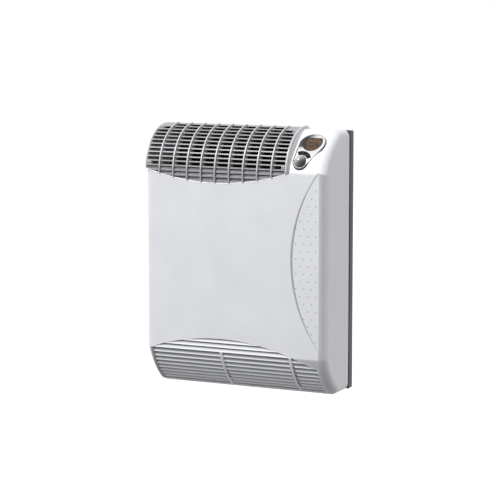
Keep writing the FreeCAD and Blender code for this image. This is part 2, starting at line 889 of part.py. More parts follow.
def outlet_grille():
    """The curved grille: slots that all point one way, between proud ribs, over a grooved apron."""
    body = new_body("outlet_grille", "0", *GRILLE_AXIS)
    body.AllowCompound = True
    span = "(grille_right - grille_left)"
    proud = "grille_radius + rib_proud"
    between = span + " - 2 * rib_width"
    pad(body, "YZ", "grille_right", "cheek_width",
        sector(GRILLE_BACK, proud, LENS_END_ANGLE, "grille_top_angle"))
    cheek_end, cheek_low = "grille_right + cheek_width", proud + " - cheek_drop"
    turned_about(body, "Groove", "XZ", "0", ("0", "0"), ("width", "0"),
                 ("grille_right", proud),
                 (cheek_end, cheek_low),
                 (cheek_end + " + overrun", cheek_low),
                 (cheek_end + " + overrun", proud + " + overrun"),
                 ("grille_right", proud + " + overrun"))
    pad(body, "YZ", "grille_left", span,
        sector(GRILLE_BACK, "grille_radius", "-grille_foot_angle", "grille_top_angle"))
    low, high = FIRST_ROW + " - slot_height / 2", FIRST_ROW + " + slot_height / 2"
    slot = pocket(body, "YZ", SLOT_LEFT, between, outline(
        slotwise(proud + " + overrun", low),
        slotwise(proud + " + overrun", high),
        slotwise("slot_root", high),
        slotwise("slot_root", low)), axis_line(("0", "0"), slotwise("0", "slot_pitch")))
    row_of(body, [slot], "Axis0", "slot_pitch * (grille_rows - 1)", "grille_rows")
    groove_top = "(groove_top_angle - groove_pitch_angle * (apron_grooves - 1))"
    groove_foot = groove_top + " - groove_span_angle"
    groove = pocket(body, "YZ", SLOT_LEFT, between, outline(
        polar_point(proud, groove_top),
        polar_point("grille_radius - groove_depth", groove_top),
        polar_point("grille_radius", groove_foot),
        polar_point(proud, groove_foot)))
    fan_of(body, [groove], "groove_pitch_angle", "apron_grooves")
    pad(body, "YZ", "grille_left", "rib_width",
        sector(RIB_BACK, "grille_radius", "-grille_foot_angle", "grille_top_angle"))
    rib = pad(body, "YZ", "grille_left + " + GRILLE_PITCH, "rib_width",
              sector(RIB_BACK, proud, "-grille_foot_angle", "rib_top_angle"))
    row_of(body, [rib], "X", GRILLE_PITCH + " * (grille_columns - 1)", "grille_columns")
    pocket(body, "XZ", "-(grille_axis_depth + rib_proud + overrun)",
           "grille_axis_depth + rib_proud + overrun", below_lens())
    for start in (SLOT_LEFT, "grille_right - rib_width - boss_width"):
        for row in (FIRST_ROW, BOSS_ROW):
            pad(body, "YZ", start, "boss_width", slot_filling(row, RIB_BACK))
    for place_text, angle in GRILLE_SCREWS:
        spun(body, "Groove", place_text, angle,
             ("0", "grille_radius - screw_length"),
             ("screw_radius", "grille_radius - screw_length"),
             ("screw_radius", "grille_radius + overrun"),
             ("0", "grille_radius + overrun"))
    for start in (SLOT_LEFT, "grille_right - " + GRILLE_PITCH):
        pad(body, "YZ", start, GRILLE_PITCH + " - rib_width",
            slot_filling(LAST_ROW, GRILLE_BACK))
    return body


def slotwise(reach, rise):
    """A corner seen from the right: how far out along the slots' own way, and how high across."""
    return ("-(%s) * cos(slot_angle) + (%s) * sin(slot_angle)" % (reach, rise),
            "(%s) * sin(slot_angle) + (%s) * cos(slot_angle)" % (reach, rise))


def slot_filling(row, back):
    """Solid material that fills a row's slot from the grille's face back to a radius."""
    def corner(radius, side):
        rise = "(%s %s slot_height / 2)" % (row, side)
        return slotwise("sqrt((%s) ^ 2 - %s ^ 2)" % (radius, rise), rise)
    return outline(
        corner("grille_radius", "-") + ("grille_radius", CW),
        corner("grille_radius", "+"),
        corner(back, "+") + (back, CCW),
        corner(back, "-"))


def spun(body, kind, place_text, angle, *corners):
    """A feature turned about a line from the grille's axis, from (radius, reach) corners."""
    def spot(radius, reach):
        return ("-(%s) * cos(%s) + (%s) * sin(%s)" % (reach, angle, radius, angle),
                "(%s) * sin(%s) + (%s) * cos(%s)" % (reach, angle, radius, angle))
    return turned_about(body, kind, "YZ", place_text, ("0", "0"), spot("0", "grille_radius"),
                        *[spot(*corner) for corner in corners])


GRILLE_SCREWS = tuple(
    (place_text, angle)
    for place_text in (SLOT_LEFT + " + boss_width / 2",
                       "grille_right - rib_width - boss_width / 2")
    for angle in ["asin((%s) / grille_radius) / 1 deg + slot_angle" % row
                  for row in (FIRST_ROW, BOSS_ROW)])


def grille_screws():
    """Four screws in the corners of the outlet grille, pointing at the grille's axis."""
    body = new_body("grille_screws", "0", *GRILLE_AXIS)
    body.AllowCompound = True
    for place_text, angle in GRILLE_SCREWS:
        spun(body, "Revolution", place_text, angle,
             ("0", "grille_radius - screw_length"),
             ("screw_radius", "grille_radius - screw_length"),
             ("screw_radius", "grille_radius"),
             ("screw_head_radius", "grille_radius"),
             ("screw_head_radius", "grille_radius + screw_head_height / 2"),
             ("screw_radius", "grille_radius + screw_head_height"),
             ("0", "grille_radius + screw_head_height"))
    return body


# Intake grille

CHIN_HALF_CHORD = "sqrt(chin_depth ^ 2 + lower_fold ^ 2) / 2"
CHIN_REACH = "sqrt(chin_radius ^ 2 - (%s) ^ 2)" % CHIN_HALF_CHORD
CHIN_CENTRE_DEPTH = "(chin_depth / 2 + %s * lower_fold / (2 * %s))" % (
    CHIN_REACH, CHIN_HALF_CHORD)
CHIN_CENTRE_RISE = "(lower_fold / 2 + %s * chin_depth / (2 * %s))" % (
    CHIN_REACH, CHIN_HALF_CHORD)
CHIN_FOLD_ANGLE = "asin((lower_fold - %s) / chin_radius)" % CHIN_CENTRE_RISE
CHIN_FOOT_ANGLE = "asin((intake_foot - %s) / chin_radius) / 1 deg" % CHIN_CENTRE_RISE
CHIN_PITCH_ANGLE = "(%s / 1 deg - %s) / chin_louvres" % (CHIN_FOLD_ANGLE, CHIN_FOOT_ANGLE)


def profile_band(near_sink, far_sink, foot_angle, top):
    """A band along the casing's front and chin, from an angle on the chin up to a height."""
    outer, inner = "chin_radius - (%s)" % near_sink, "chin_radius - (%s)" % far_sink
    top_local = "%s - %s" % (top, CHIN_CENTRE_RISE)
    return outline(
        ("%s - %s" % (near_sink, CHIN_CENTRE_DEPTH), top_local),
        polar_point(outer, CHIN_FOLD_ANGLE) + (outer, CCW),
        polar_point(outer, foot_angle),
        polar_point(inner, foot_angle) + (inner, CW),
        polar_point(inner, CHIN_FOLD_ANGLE),
        ("%s - %s" % (far_sink, CHIN_CENTRE_DEPTH), top_local))


def bay_top(place_text):
    """How high a bay of the intake reaches at a distance to the right, from the chin's centre."""
    return ("intake_crown - intake_crown_radius - %s"
            " + sqrt((intake_crown_radius - intake_rail) ^ 2 - (%s - intake_crown_place) ^ 2)"
            % (CHIN_CENTRE_RISE, place_text))


def intake_bay(left, right):
    """A bay of the intake in the front view, from its foot up to the long arc."""
    low = "intake_foot + intake_rail - " + CHIN_CENTRE_RISE
    return outline(
        (left, low),
        (right, low),
        (right, bay_top("(%s)" % right), "intake_crown_radius - intake_rail", CCW),
        (left, bay_top("(%s)" % left)))


def space_over_fold():
    """The part of the bays over the chin's fold, which no upright crosses."""
    low = "lower_fold - " + CHIN_CENTRE_RISE
    half_chord = ("sqrt((intake_crown_radius - intake_rail) ^ 2"
                  " - (lower_fold - intake_crown + intake_crown_radius) ^ 2)")
    return outline(
        ("intake_crown_place - " + half_chord, low),
        ("intake_crown_place + " + half_chord, low, "intake_crown_radius - intake_rail", CCW))


def intake_grille():
    """The louvred insert of the chin: sloping slats between uprights, in a thin rim."""
    body = new_body("intake_grille", "0", CHIN_CENTRE_DEPTH, CHIN_CENTRE_RISE)
    span = "intake_right - intake_left"
    low_angle = "asin((intake_foot - overrun / 2 - %s) / chin_radius)" % CHIN_CENTRE_RISE
    pad(body, "YZ", "intake_left", span,
        profile_band("0", "divider_depth", low_angle, "intake_crown + overrun"))
    through = "-" + CHIN_CENTRE_DEPTH + " - overrun"
    depth = "chin_depth + divider_depth + 2 * overrun"
    half = "divider_width / 2"
    stops = ("intake_left - " + half + " + intake_rail", "left_divider", "right_divider",
             "intake_right + " + half + " - intake_rail")
    for left, right in zip(stops, stops[1:]):
        pocket(body, "XZ", through, depth,
               intake_bay("%s + %s" % (left, half), "%s - %s" % (right, half)))
    pocket(body, "XZ", through, depth, space_over_fold())
    face = "chin_radius - seat_gap"
    slat_top = CHIN_FOOT_ANGLE + " + chin_louvre_rise_angle"
    slat = pad(body, "YZ", "intake_left", span, outline(
        polar_point(face, CHIN_FOOT_ANGLE),
        polar_point(face + " - chin_louvre_sink", slat_top),
        polar_point(face + " - chin_louvre_sink - louvre_wall", slat_top),
        polar_point(face + " - louvre_wall", CHIN_FOOT_ANGLE)))
    fan_of(body, [slat], CHIN_PITCH_ANGLE, "chin_louvres")
    front = "seat_gap - " + CHIN_CENTRE_DEPTH
    first = "lower_fold - " + CHIN_CENTRE_RISE
    strip = pad(body, "YZ", "intake_left", span, outline(
        (front, first),
        (front + " + louvre_sink", first + " + louvre_height"),
        (front + " + louvre_sink + louvre_wall", first + " + louvre_height"),
        (front + " + louvre_wall", first)))
    row_of(body, [strip], "Z", "louvre_pitch * (front_louvres - 1)", "front_louvres")
    beyond = "2 * width"
    pocket(body, "XZ", through, depth,
           rectangle("-" + beyond, beyond, "-" + beyond, beyond), intake_trim())
    pad(body, "YZ", "intake_left + intake_flange_inset", span + " - 2 * intake_flange_inset",
        sector("chin_radius - cover_wall - 2 * louvre_wall",
               "chin_radius - cover_wall - seat_gap",
               CHIN_FOOT_ANGLE + " - intake_flange_angle",
               CHIN_FOOT_ANGLE + " + intake_flange_angle"))
    pad(body, "XZ", "cover_wall + seat_gap - " + CHIN_CENTRE_DEPTH, "louvre_wall",
        intake_top_flange())
    return body


def intake_top_flange():
    """The strip that hooks the insert behind the cover's front, along the upper arc."""
    left = "intake_crown_place - intake_flange_reach"
    right = "intake_crown_place + intake_flange_reach"
    inner = "intake_crown_radius - intake_rail"
    outer = "intake_crown_radius + intake_flange"
    base = "intake_crown - intake_crown_radius - " + CHIN_CENTRE_RISE
    inner_rise, outer_rise = ["%s + sqrt((%s) ^ 2 - intake_flange_reach ^ 2)" % (base, radius)
                              for radius in (inner, outer)]
    return outline(
        (left, inner_rise, inner, CW),
        (right, inner_rise),
        (right, outer_rise, outer, CCW),
        (left, outer_rise))


def intake_trim():
    """The intake's outline, seen from the front, about the chin's own centre."""
    rise = CHIN_CENTRE_RISE
    return outline(
        ("intake_left", "intake_foot - " + rise),
        ("intake_right", "intake_foot - " + rise),
        ("intake_right", intake_edge("intake_right") + " - " + rise, "intake_crown_radius", CCW),
        ("intake_left", intake_edge("intake_left") + " - " + rise))


# Control panel

def panel_body(label):
    """A body whose XY plane touches the shoulder at the middle of the control panel."""
    half_chord = "sqrt(shoulder_depth ^ 2 + (height - upper_fold) ^ 2) / 2"
    chord_angle = "atan((height - upper_fold) / shoulder_depth)"
    centre_reach = "sqrt(shoulder_radius ^ 2 - (%s) ^ 2)" % half_chord
    centre_depth = "shoulder_depth / 2 + (%s) * sin(%s)" % (centre_reach, chord_angle)
    centre_rise = "(upper_fold + height) / 2 - (%s) * cos(%s)" % (centre_reach, chord_angle)
    depth = "%s - shoulder_radius * cos(panel_angle)" % centre_depth
    rise = "%s + shoulder_radius * sin(panel_angle)" % centre_rise
    tilt = FreeCAD.Rotation(FreeCAD.Vector(1, 0, 0), 90 - value("panel_angle"))
    return new_body(label, "panel_place", depth, rise, tilt)


def shell_band(start_radius, end_radius, half_angle):
    """A band of the shoulder's curve about the panel's middle, seen from the right."""
    def corner(radius, side):
        return ("%s(%s) * sin(%s)" % (side, radius, half_angle),
                "(%s) * cos(%s) - shoulder_radius" % (radius, half_angle))
    low, high = "(%s)" % start_radius, "(%s)" % end_radius
    return outline(
        corner(low, "-") + (low, CW),
        corner(low, ""),
        corner(high, "") + (high, CCW),
        corner(high, "-"))


PANEL_HALF_ANGLE = "asin((lobe_reach + high_lobe_radius + overrun) / shoulder_radius)"
PANEL_HALF_WIDTH = "lobe_shift + high_lobe_radius + overrun"


def add_plate(body, sink, proud, keep):
    """Adds a plate that follows the shoulder's curve, and trims all to an outline."""
    pad(body, "YZ", "-(%s)" % PANEL_HALF_WIDTH, "2 * (%s)" % PANEL_HALF_WIDTH,
        shell_band("shoulder_radius - (%s)" % sink, "shoulder_radius + (%s)" % proud,
                   PANEL_HALF_ANGLE))
    frame = "2 * (%s)" % PANEL_HALF_WIDTH
    pocket(body, "XY", "-housing_depth", "housing_depth + bezel_proud + overrun",
           rectangle("-(%s)" % frame, frame, "-(%s)" % frame, frame), keep)


def drill_panel(body, *shapes):
    """Cuts shapes right through a plate of the panel."""
    for shape in shapes:
        pocket(body, "XY", "-housing_depth", "housing_depth + bezel_proud + overrun", shape)


def window_outline(grow):
    """The display's opening: a circle in the large lobe, cut by a straight upper edge."""
    radius = "window_radius + (%s)" % grow
    chord = "window_chord + (%s)" % grow
    half = "sqrt((%s) ^ 2 - (%s) ^ 2)" % (radius, chord)
    middle = "lobe_reach + window_rise"
    return outline(
        ("lobe_shift - (%s)" % half, "%s + %s" % (middle, chord), radius, CCW),
        ("lobe_shift", "%s - (%s)" % (middle, radius), radius, CCW),
        ("lobe_shift + (%s)" % half, "%s + %s" % (middle, chord)))


def key_outline(index, grow):
    """One of the keys that ring the knob: a piece of a ring, grown by a margin all round."""
    inner = "key_inner_radius - (%s)" % grow
    outer = "key_outer_radius + (%s)" % grow
    first = "(key_first_angle + key_step_angle * %d)" % index
    last = "(key_first_angle + key_step_angle * %d + key_span_angle)" % index

    def corner(radius, angle, side):
        margin = "%s(%s)" % (side, grow)
        return ("-lobe_shift + (%s) * cos(%s) - (%s) * sin(%s)" % (radius, angle, margin, angle),
                "-lobe_reach + (%s) * sin(%s) + (%s) * cos(%s)" % (radius, angle, margin, angle))

    def reach(radius):
        return "sqrt((%s) ^ 2 + (%s) ^ 2)" % (radius, grow)
    return outline(
        corner(inner, first, "-"),
        corner(outer, first, "-") + (reach(outer), CCW),
        corner(outer, last, ""),
        corner(inner, last, "") + (reach(inner), CW))


def key_middle(index):
    """The middle of one of the keys on the panel."""
    ring = "(key_inner_radius + key_outer_radius) / 2"
    angle = "(key_first_angle + key_step_angle * %d + key_span_angle / 2)" % index
    return ("-lobe_shift + %s * cos(%s)" % (ring, angle),
            "-lobe_reach + %s * sin(%s)" % (ring, angle))


def control_bezel():
    body = panel_body("control_bezel")
    add_plate(body, "bezel_sink", "bezel_proud", teardrop("0"))
    drill_panel(body, teardrop("bezel_width"))
    return body


def control_fascia():
    body = panel_body("control_fascia")
    add_plate(body, "bezel_sink", "fascia_proud", teardrop("bezel_width + fascia_gap"))
    drill_panel(body, window_outline("fascia_gap"),
                circle("-lobe_shift", "-lobe_reach", "knob_radius + knob_gap"))
    for index in range(COUNTS["key_count"]):
        drill_panel(body, key_outline(index, "key_gap"))
    return body


def display_window():
    body = panel_body("display_window")
    add_plate(body, "window_thickness - fascia_proud + window_sink",
              "fascia_proud - window_sink", window_outline("0"))
    return body


def display_module():
    body = panel_body("display_module")
    pad(body, "XY", "-board_depth", "module_height", rectangle(
        "lobe_shift - module_width / 2", "lobe_shift + module_width / 2",
        "lobe_reach - module_length / 2", "lobe_reach + module_length / 2"))
    return body


def control_board():
    body = panel_body("control_board")
    pad(body, "XY", "-board_depth - board_thickness", "board_thickness",
        teardrop("housing_wall"))
    return body


def control_housing():
    """The cup behind the panel: its rim follows the shoulder and carries bezel and fascia."""
    body = panel_body("control_housing")
    pad(body, "XY", "-housing_depth", "housing_depth", teardrop("0"))
    pocket(body, "YZ", "-(%s)" % PANEL_HALF_WIDTH, "2 * (%s)" % PANEL_HALF_WIDTH,
           shell_band("shoulder_radius - bezel_sink", "shoulder_radius + housing_depth",
                      PANEL_HALF_ANGLE))
    pocket(body, "XY", "-housing_depth + housing_wall",
           "housing_depth - housing_wall - housing_rim_depth", teardrop("housing_wall"))
    pocket(body, "XY", "-housing_rim_depth - overrun", "housing_rim_depth + 2 * overrun",
           teardrop("housing_rim"))
    return body


def key(index, side):
    """A push key: a cap that follows the fascia's curve, a flange under it and a stem."""
    body = panel_body(side + "_key")
    flange_top = "bezel_sink + seat_gap"
    add_plate(body, flange_top, "key_proud", key_outline(index, "0"))
    add_plate(body, flange_top + " + key_flange_height", "-(%s)" % flange_top,
              key_outline(index, "key_flange"))
    foot = "-board_depth + switch_height + key_travel + seat_gap"
    pad(body, "XY", foot, "-(%s) - (%s)" % (foot, flange_top),
        circle(*key_middle(index), "stem_radius"))
    return body


def tact_switches():
    """Three small push switches on the control board, one under each key."""
    body = panel_body("tact_switches")
    body.AllowCompound = True
    half = "switch_side / 2"
    squares = []
    for index in range(COUNTS["key_count"]):
        x, y = key_middle(index)
        squares.append(rectangle("%s - %s" % (x, half), "%s + %s" % (x, half),
                                 "%s - %s" % (y, half), "%s + %s" % (y, half)))
    pad(body, "XY", "-board_depth", "switch_height", *squares)
    return body


KNOB_PLACE = ("-lobe_shift", "-lobe_reach")
PRESS_ROOM = "knob_press + seat_gap"


def encoder_body():
    body = panel_body("encoder_body")
    pad(body, "XY", "-board_depth", "encoder_height",
        circle(*KNOB_PLACE, "encoder_radius"),
        circle(*KNOB_PLACE, "plunger_radius + running_gap"))
    return body


def encoder_plunger():
    """The encoder's push spindle, which the knob turns on and pushes in."""
    body = panel_body("encoder_plunger")
    pad(body, "XY", "-board_depth + " + PRESS_ROOM, "board_depth + knob_skirt - (%s)" % PRESS_ROOM,
        circle(*KNOB_PLACE, "plunger_radius"))
    return body


def control_knob():
    """The dome-shaped knob: a hollow half ball on a boss that turns on the spindle."""
    body = panel_body("control_knob")
    foot = "-knob_skirt"
    wall = "-lobe_shift + knob_radius - knob_wall"
    bore = "-lobe_shift + plunger_radius + running_gap"
    turned_about(
        body, "Revolution", "XZ", "-lobe_reach", ("-lobe_shift", foot),
        ("-lobe_shift", "knob_radius"),
        ("-lobe_shift", "knob_skirt"),
        ("-lobe_shift", "knob_radius - knob_skirt", "knob_radius", CW),
        ("-lobe_shift + knob_radius", foot),
        (wall, foot),
        (wall, "0"),
        ("-lobe_shift + knob_boss_radius", "0"),
        ("-lobe_shift + knob_boss_radius", foot),
        (bore, foot),
        (bore, "knob_skirt"))
    return body


# Cross-flow fan

FAN_AXIS = ("fan_axis_depth", "fan_axis_rise")


def blade_outline(inner, outer, sweep, wall, bow):
    """A curved blade's section between two radii, its tip ahead of its root by the sweep."""
    inner_turn = "2 * asin((%s) / (2 * (%s))) / 1 deg" % (wall, inner)
    outer_turn = "2 * asin((%s) / (2 * (%s))) / 1 deg" % (wall, outer)
    return outline(
        spoke(inner, "0") + (bow, CCW),
        spoke(outer, sweep),
        spoke(outer, "%s + %s" % (sweep, outer_turn)) + (bow, CW),
        spoke(inner, inner_turn))


def fan_rotor():
    """The cross-flow rotor: curved blades between two end discs, stiffened by a middle ring."""
    body = new_body("fan_rotor", "fan_left", *FAN_AXIS)
    blade = pad(body, "YZ", "rotor_disc", "fan_length - 2 * rotor_disc", blade_outline(
        "rotor_inner_radius", "rotor_radius - rotor_disc / 2", "blade_sweep_angle",
        "blade_wall", "blade_bow"))
    pad(body, "YZ", "0", "rotor_disc", circle("0", "0", "rotor_radius"),
        circle("0", "0", "fan_shaft_radius"))
    round_of(body, [blade], "X", "rotor_blades")
    pad(body, "YZ", "fan_length - rotor_disc", "rotor_disc", circle("0", "0", "rotor_radius"),
        circle("0", "0", "fan_shaft_radius"))
    pad(body, "YZ", "fan_length / 2 - rotor_disc / 2", "rotor_disc",
        circle("0", "0", "rotor_radius"), circle("0", "0", "rotor_inner_radius"))
    pad(body, "YZ", "rotor_disc", "rotor_hub_length - rotor_disc",
        circle("0", "0", "rotor_hub_radius"), circle("0", "0", "fan_shaft_radius"))
    return body


def fan_shaft():
    body = new_body("fan_shaft", "fan_left", *FAN_AXIS)
    motor_reach = "end_plate_gap + end_plate_wall + motor_length / 2"
    bearing_reach = "end_plate_gap + end_plate_wall + bearing_length"
    pad(body, "YZ", "-(%s)" % motor_reach,
        "fan_length + %s + %s" % (motor_reach, bearing_reach),
        circle("0", "0", "fan_shaft_radius"))
    return body


def fan_motor():
    """The fan's motor, seated on the left end plate."""
    bore = "fan_shaft_radius + running_gap"
    return turned(
        "fan_motor", "fan_left - end_plate_gap - end_plate_wall - motor_length",
        *FAN_AXIS, ALONG_X,
        ("0", "0"),
        ("motor_radius - motor_chamfer", "0"),
        ("motor_radius", "motor_chamfer"),
        ("motor_radius", "motor_length"),
        ("motor_boss_radius", "motor_length"),
        ("motor_boss_radius", "motor_length + motor_boss_length"),
        (bore, "motor_length + motor_boss_length"),
        (bore, "motor_length / 2 - seat_gap"),
        ("0", "motor_length / 2 - seat_gap"))


def fan_bearing():
    """The bush that carries the rotor's free end, flanged against the right end plate."""
    bore = "fan_shaft_radius + running_gap"
    return turned(
        "fan_bearing", "fan_left + fan_length + end_plate_gap", *FAN_AXIS, ALONG_X,
        (bore, "0"),
        ("bearing_radius", "0"),
        ("bearing_radius", "end_plate_wall"),
        ("bearing_radius + end_plate_gap", "end_plate_wall"),
        ("bearing_radius + end_plate_gap", "2 * end_plate_wall"),
        ("bearing_radius", "2 * end_plate_wall"),
        ("bearing_radius", "end_plate_wall + bearing_length"),
        (bore, "end_plate_wall + bearing_length"))


def fan_end_plate(side, start, hole):
    """A sheet that closes one end of the fan's scroll and carries the shaft's support."""
    body = new_body("fan_end_plate_" + side, start, *FAN_AXIS)
    back = "cover_depth + frame_depth - frame_wall - fan_axis_depth"
    front = "-(rotor_radius + scroll_gap + scroll_wall)"
    pad(body, "YZ", "0", "end_plate_wall",
        rectangle(front, back, front, "scroll_top - fan_axis_rise"), circle("0", "0", hole))
    return body


def fan_scroll():
    """The rear scroll: a sheet that wraps the rotor from below and rises to the exchanger."""
    inner = "rotor_radius + scroll_gap"
    outer = "rotor_radius + scroll_gap + scroll_wall"
    top = "scroll_top - fan_axis_rise"
    body = new_body("fan_scroll", "fan_left - end_plate_gap", *FAN_AXIS)
    pad(body, "YZ", "0", "fan_length + 2 * end_plate_gap", outline(
        ("0", "-(%s)" % outer, outer, CCW),
        (outer, "0"),
        (outer, top),
        (inner, top),
        (inner, "0", inner, CW),
        ("0", "-(%s)" % inner)))
    return body


def fan_tongue():
    """The stabiliser: a folded strip in front of the rotor that parts inlet from outlet."""
    outer = "rotor_radius + scroll_gap + scroll_wall"
    inner = "rotor_radius + scroll_gap"
    body = new_body("fan_tongue", "fan_left - end_plate_gap", *FAN_AXIS)
    pad(body, "YZ", "0", "fan_length + 2 * end_plate_gap", outline(
        ("-(%s)" % outer, "tongue_length / 2"),
        ("-(%s)" % inner, "tongue_length / 2"),
        ("-(%s)" % inner, "scroll_top - fan_axis_rise"),
        ("-(%s)" % outer, "scroll_top - fan_axis_rise")))
    return body


# Heat exchanger and burner

CHAMBER_BACK = "chamber_front + chamber_depth"
CHAMBER_MIDDLE = "chamber_front + chamber_depth / 2"


def heat_exchanger():
    """A tall box, open below, with upright fins on its front and back."""
    body = new_body("heat_exchanger", "0", "0", "chamber_foot")
    pad(body, "XZ", "chamber_front", "chamber_depth",
        rectangle("chamber_left", "chamber_right", "0", "chamber_height"))
    fin_left = "chamber_left + fin_margin"
    fin_row = "chamber_right - chamber_left - 2 * fin_margin - fin_wall"
    front = pad(body, "XZ", "chamber_front - fin_height", "fin_height",
                rectangle(fin_left, fin_left + " + fin_wall", "fin_trim",
                          "chamber_height - fin_trim"))
    row_of(body, [front], "X", fin_row, "fins")
    back = pad(body, "XZ", CHAMBER_BACK, "fin_height",
               rectangle(fin_left, fin_left + " + fin_wall", "fin_trim",
                         "chamber_height - fin_trim"))
    row_of(body, [back], "X", fin_row, "fins")
    pocket(body, "XY", "-overrun", "chamber_height - chamber_wall + overrun", rectangle(
        "chamber_left + chamber_wall", "chamber_right - chamber_wall",
        "chamber_front + chamber_wall", CHAMBER_BACK + " - chamber_wall"))
    pocket(body, "YZ", "chamber_right - chamber_wall - overrun", "chamber_wall + 2 * overrun",
           circle(CHAMBER_MIDDLE, "exhaust_rise - chamber_foot",
                  "flue_tube_radius - flue_tube_wall"),
           circle(CHAMBER_MIDDLE, "burner_rise", "injector_radius"))
    return body


def chamber_gasket():
    body = new_body("chamber_gasket", "0", "0", "chamber_foot - gasket_thickness")
    pad(body, "XY", "0", "gasket_thickness",
        rectangle("chamber_left", "chamber_right", "chamber_front", CHAMBER_BACK),
        rectangle("chamber_left + gasket_width", "chamber_right - gasket_width",
                  "chamber_front + gasket_width", CHAMBER_BACK + " - gasket_width"))
    return body


def burner_tray():
    """The plate that closes the chamber from below, with the air port and electrode holes."""
    body = new_body("burner_tray", "0", "0", "chamber_foot - gasket_thickness - tray_thickness")
    pad(body, "XY", "0", "tray_thickness",
        rectangle("chamber_left", "chamber_right", "chamber_front", CHAMBER_BACK),
        rectangle("chamber_right - gasket_width - air_port_length",
                  "chamber_right - gasket_width",
                  CHAMBER_MIDDLE + " - air_port_width / 2",
                  CHAMBER_MIDDLE + " + air_port_width / 2"),
        circle("electrode_place", ELECTRODE_DEPTH, "ceramic_radius"),
        circle("sensor_place", ELECTRODE_DEPTH, "ceramic_radius"))
    return body


ELECTRODE_DEPTH = "chamber_front + chamber_wall + ceramic_radius + gasket_width"


def burner_tube():
    """A tube burner with a row of flame slots along its top, closed at its far end."""
    body = new_body("burner_tube", "chamber_right - chamber_wall - burner_length",
                    CHAMBER_MIDDLE, "chamber_foot + burner_rise")
    pad(body, "YZ", "0", "burner_length", circle("0", "0", "burner_radius"))
    pocket(body, "YZ", "burner_wall", "burner_length",
           circle("0", "0", "burner_radius - burner_wall"))
    slot = pocket(body, "XY", "burner_radius / 2", "burner_radius", rectangle(
        "burner_slot_length", "burner_slot_length + burner_slot_width",
        "-burner_slot_length / 2", "burner_slot_length / 2"))
    row_of(body, [slot], "X", "burner_length - 2 * burner_slot_length - burner_slot_width",
           "burner_slots")
    return body


def injector():
    """The gas jet in the burner's mouth, threaded into the exchanger's right wall."""
    return turned(
        "injector", "chamber_right - chamber_wall", CHAMBER_MIDDLE,
        "chamber_foot + burner_rise", ALONG_X,
        ("0", "-injector_radius / 2"),
        ("injector_radius / 4", "-injector_radius / 2"),
        ("injector_radius / 2", "0"),
        ("injector_radius", "0"),
        ("injector_radius", "chamber_wall"),
        ("injector_radius + chamber_wall", "chamber_wall"),
        ("injector_radius + chamber_wall", "chamber_wall + injector_length"),
        ("0", "chamber_wall + injector_length"))


def electrode(label, place_text):
    """A wire in a ceramic sleeve, flanged under the burner tray."""
    return turned(
        label, place_text, ELECTRODE_DEPTH,
        "chamber_foot - gasket_thickness - tray_thickness", UPRIGHT,
        ("0", "-ceramic_length / 2"),
        ("ceramic_radius", "-ceramic_length / 2"),
        ("ceramic_radius", "-tray_thickness / 2"),
        ("electrode_flange", "-tray_thickness / 2"),
        ("electrode_flange", "0"),
        ("ceramic_radius", "0"),
        ("ceramic_radius", "ceramic_length / 2"),
        ("electrode_radius", "ceramic_length / 2"),
        ("electrode_radius", "electrode_length - ceramic_length / 2"),
        ("0", "electrode_length - ceramic_length / 2"))


def overheat_thermostat():
    return turned(
        "overheat_thermostat", "0", CHAMBER_MIDDLE, "chamber_foot + chamber_height", UPRIGHT,
        ("0", "0"),
        ("thermostat_radius", "0"),
        ("thermostat_radius", "thermostat_height / 2"),
        ("thermostat_radius * 2 / 3", "thermostat_height / 2"),
        ("thermostat_radius * 2 / 3", "thermostat_height"),
        ("0", "thermostat_height"))


WALL_PLATE = "cover_depth + frame_depth - frame_wall"


def exchanger_brackets():
    """Two angles that carry the exchanger's ends from the wall plate."""
    body = new_body("exchanger_brackets", "0", "0", "chamber_foot + chamber_height / 2")
    body.AllowCompound = True
    for start in ("chamber_left - bracket_wall", "chamber_right"):
        pad(body, "YZ", start, "bracket_wall", outline(
            (CHAMBER_MIDDLE, "0"),
            (WALL_PLATE, "-bracket_height"),
            (WALL_PLATE, "bracket_height"),
            (CHAMBER_MIDDLE, "bracket_height")))
    return body


def insulation_panel():
    body = new_body("insulation_panel", "0", "0", "chamber_foot - bracket_height")
    pad(body, "XZ", WALL_PLATE + " - insulation_thickness", "insulation_thickness",
        rectangle("chamber_left", "chamber_right - bracket_wall", "0",
                  "chamber_height + 2 * bracket_height"))
    return body


def heat_shield():
    """The sheet in front of the exchanger that guides the warm air and keeps the cover cool."""
    body = new_body("heat_shield", "0", "0", "shield_foot")
    left = "chamber_left - shield_margin"
    right = "chamber_right + shield_margin"
    pad(body, "XY", "0", "shield_height", outline(
        (left, "shield_front"),
        (right, "shield_front"),
        (right, "shield_front + shield_return"),
        (right + " - shield_wall", "shield_front + shield_return"),
        (right + " - shield_wall", "shield_front + shield_wall"),
        (left + " + shield_wall", "shield_front + shield_wall"),
        (left + " + shield_wall", WALL_PLATE),
        (left, WALL_PLATE)))
    return body


def air_deflector():
    """A curved sheet behind the outlet that turns the rising air forwards."""
    body = new_body("air_deflector", "chamber_left - shield_margin",
                    WALL_PLATE + " - deflector_radius", "deflector_foot")
    inner = "deflector_radius - deflector_wall"
    turn = "deflector_turn_angle"
    pad(body, "YZ", "0", "chamber_right - chamber_left + 2 * shield_margin", outline(
        ("deflector_radius", "0", "deflector_radius", CCW),
        spoke("deflector_radius", turn),
        spoke(inner, turn) + (inner, CW),
        (inner, "0")))
    return body


# Combustion air and flue

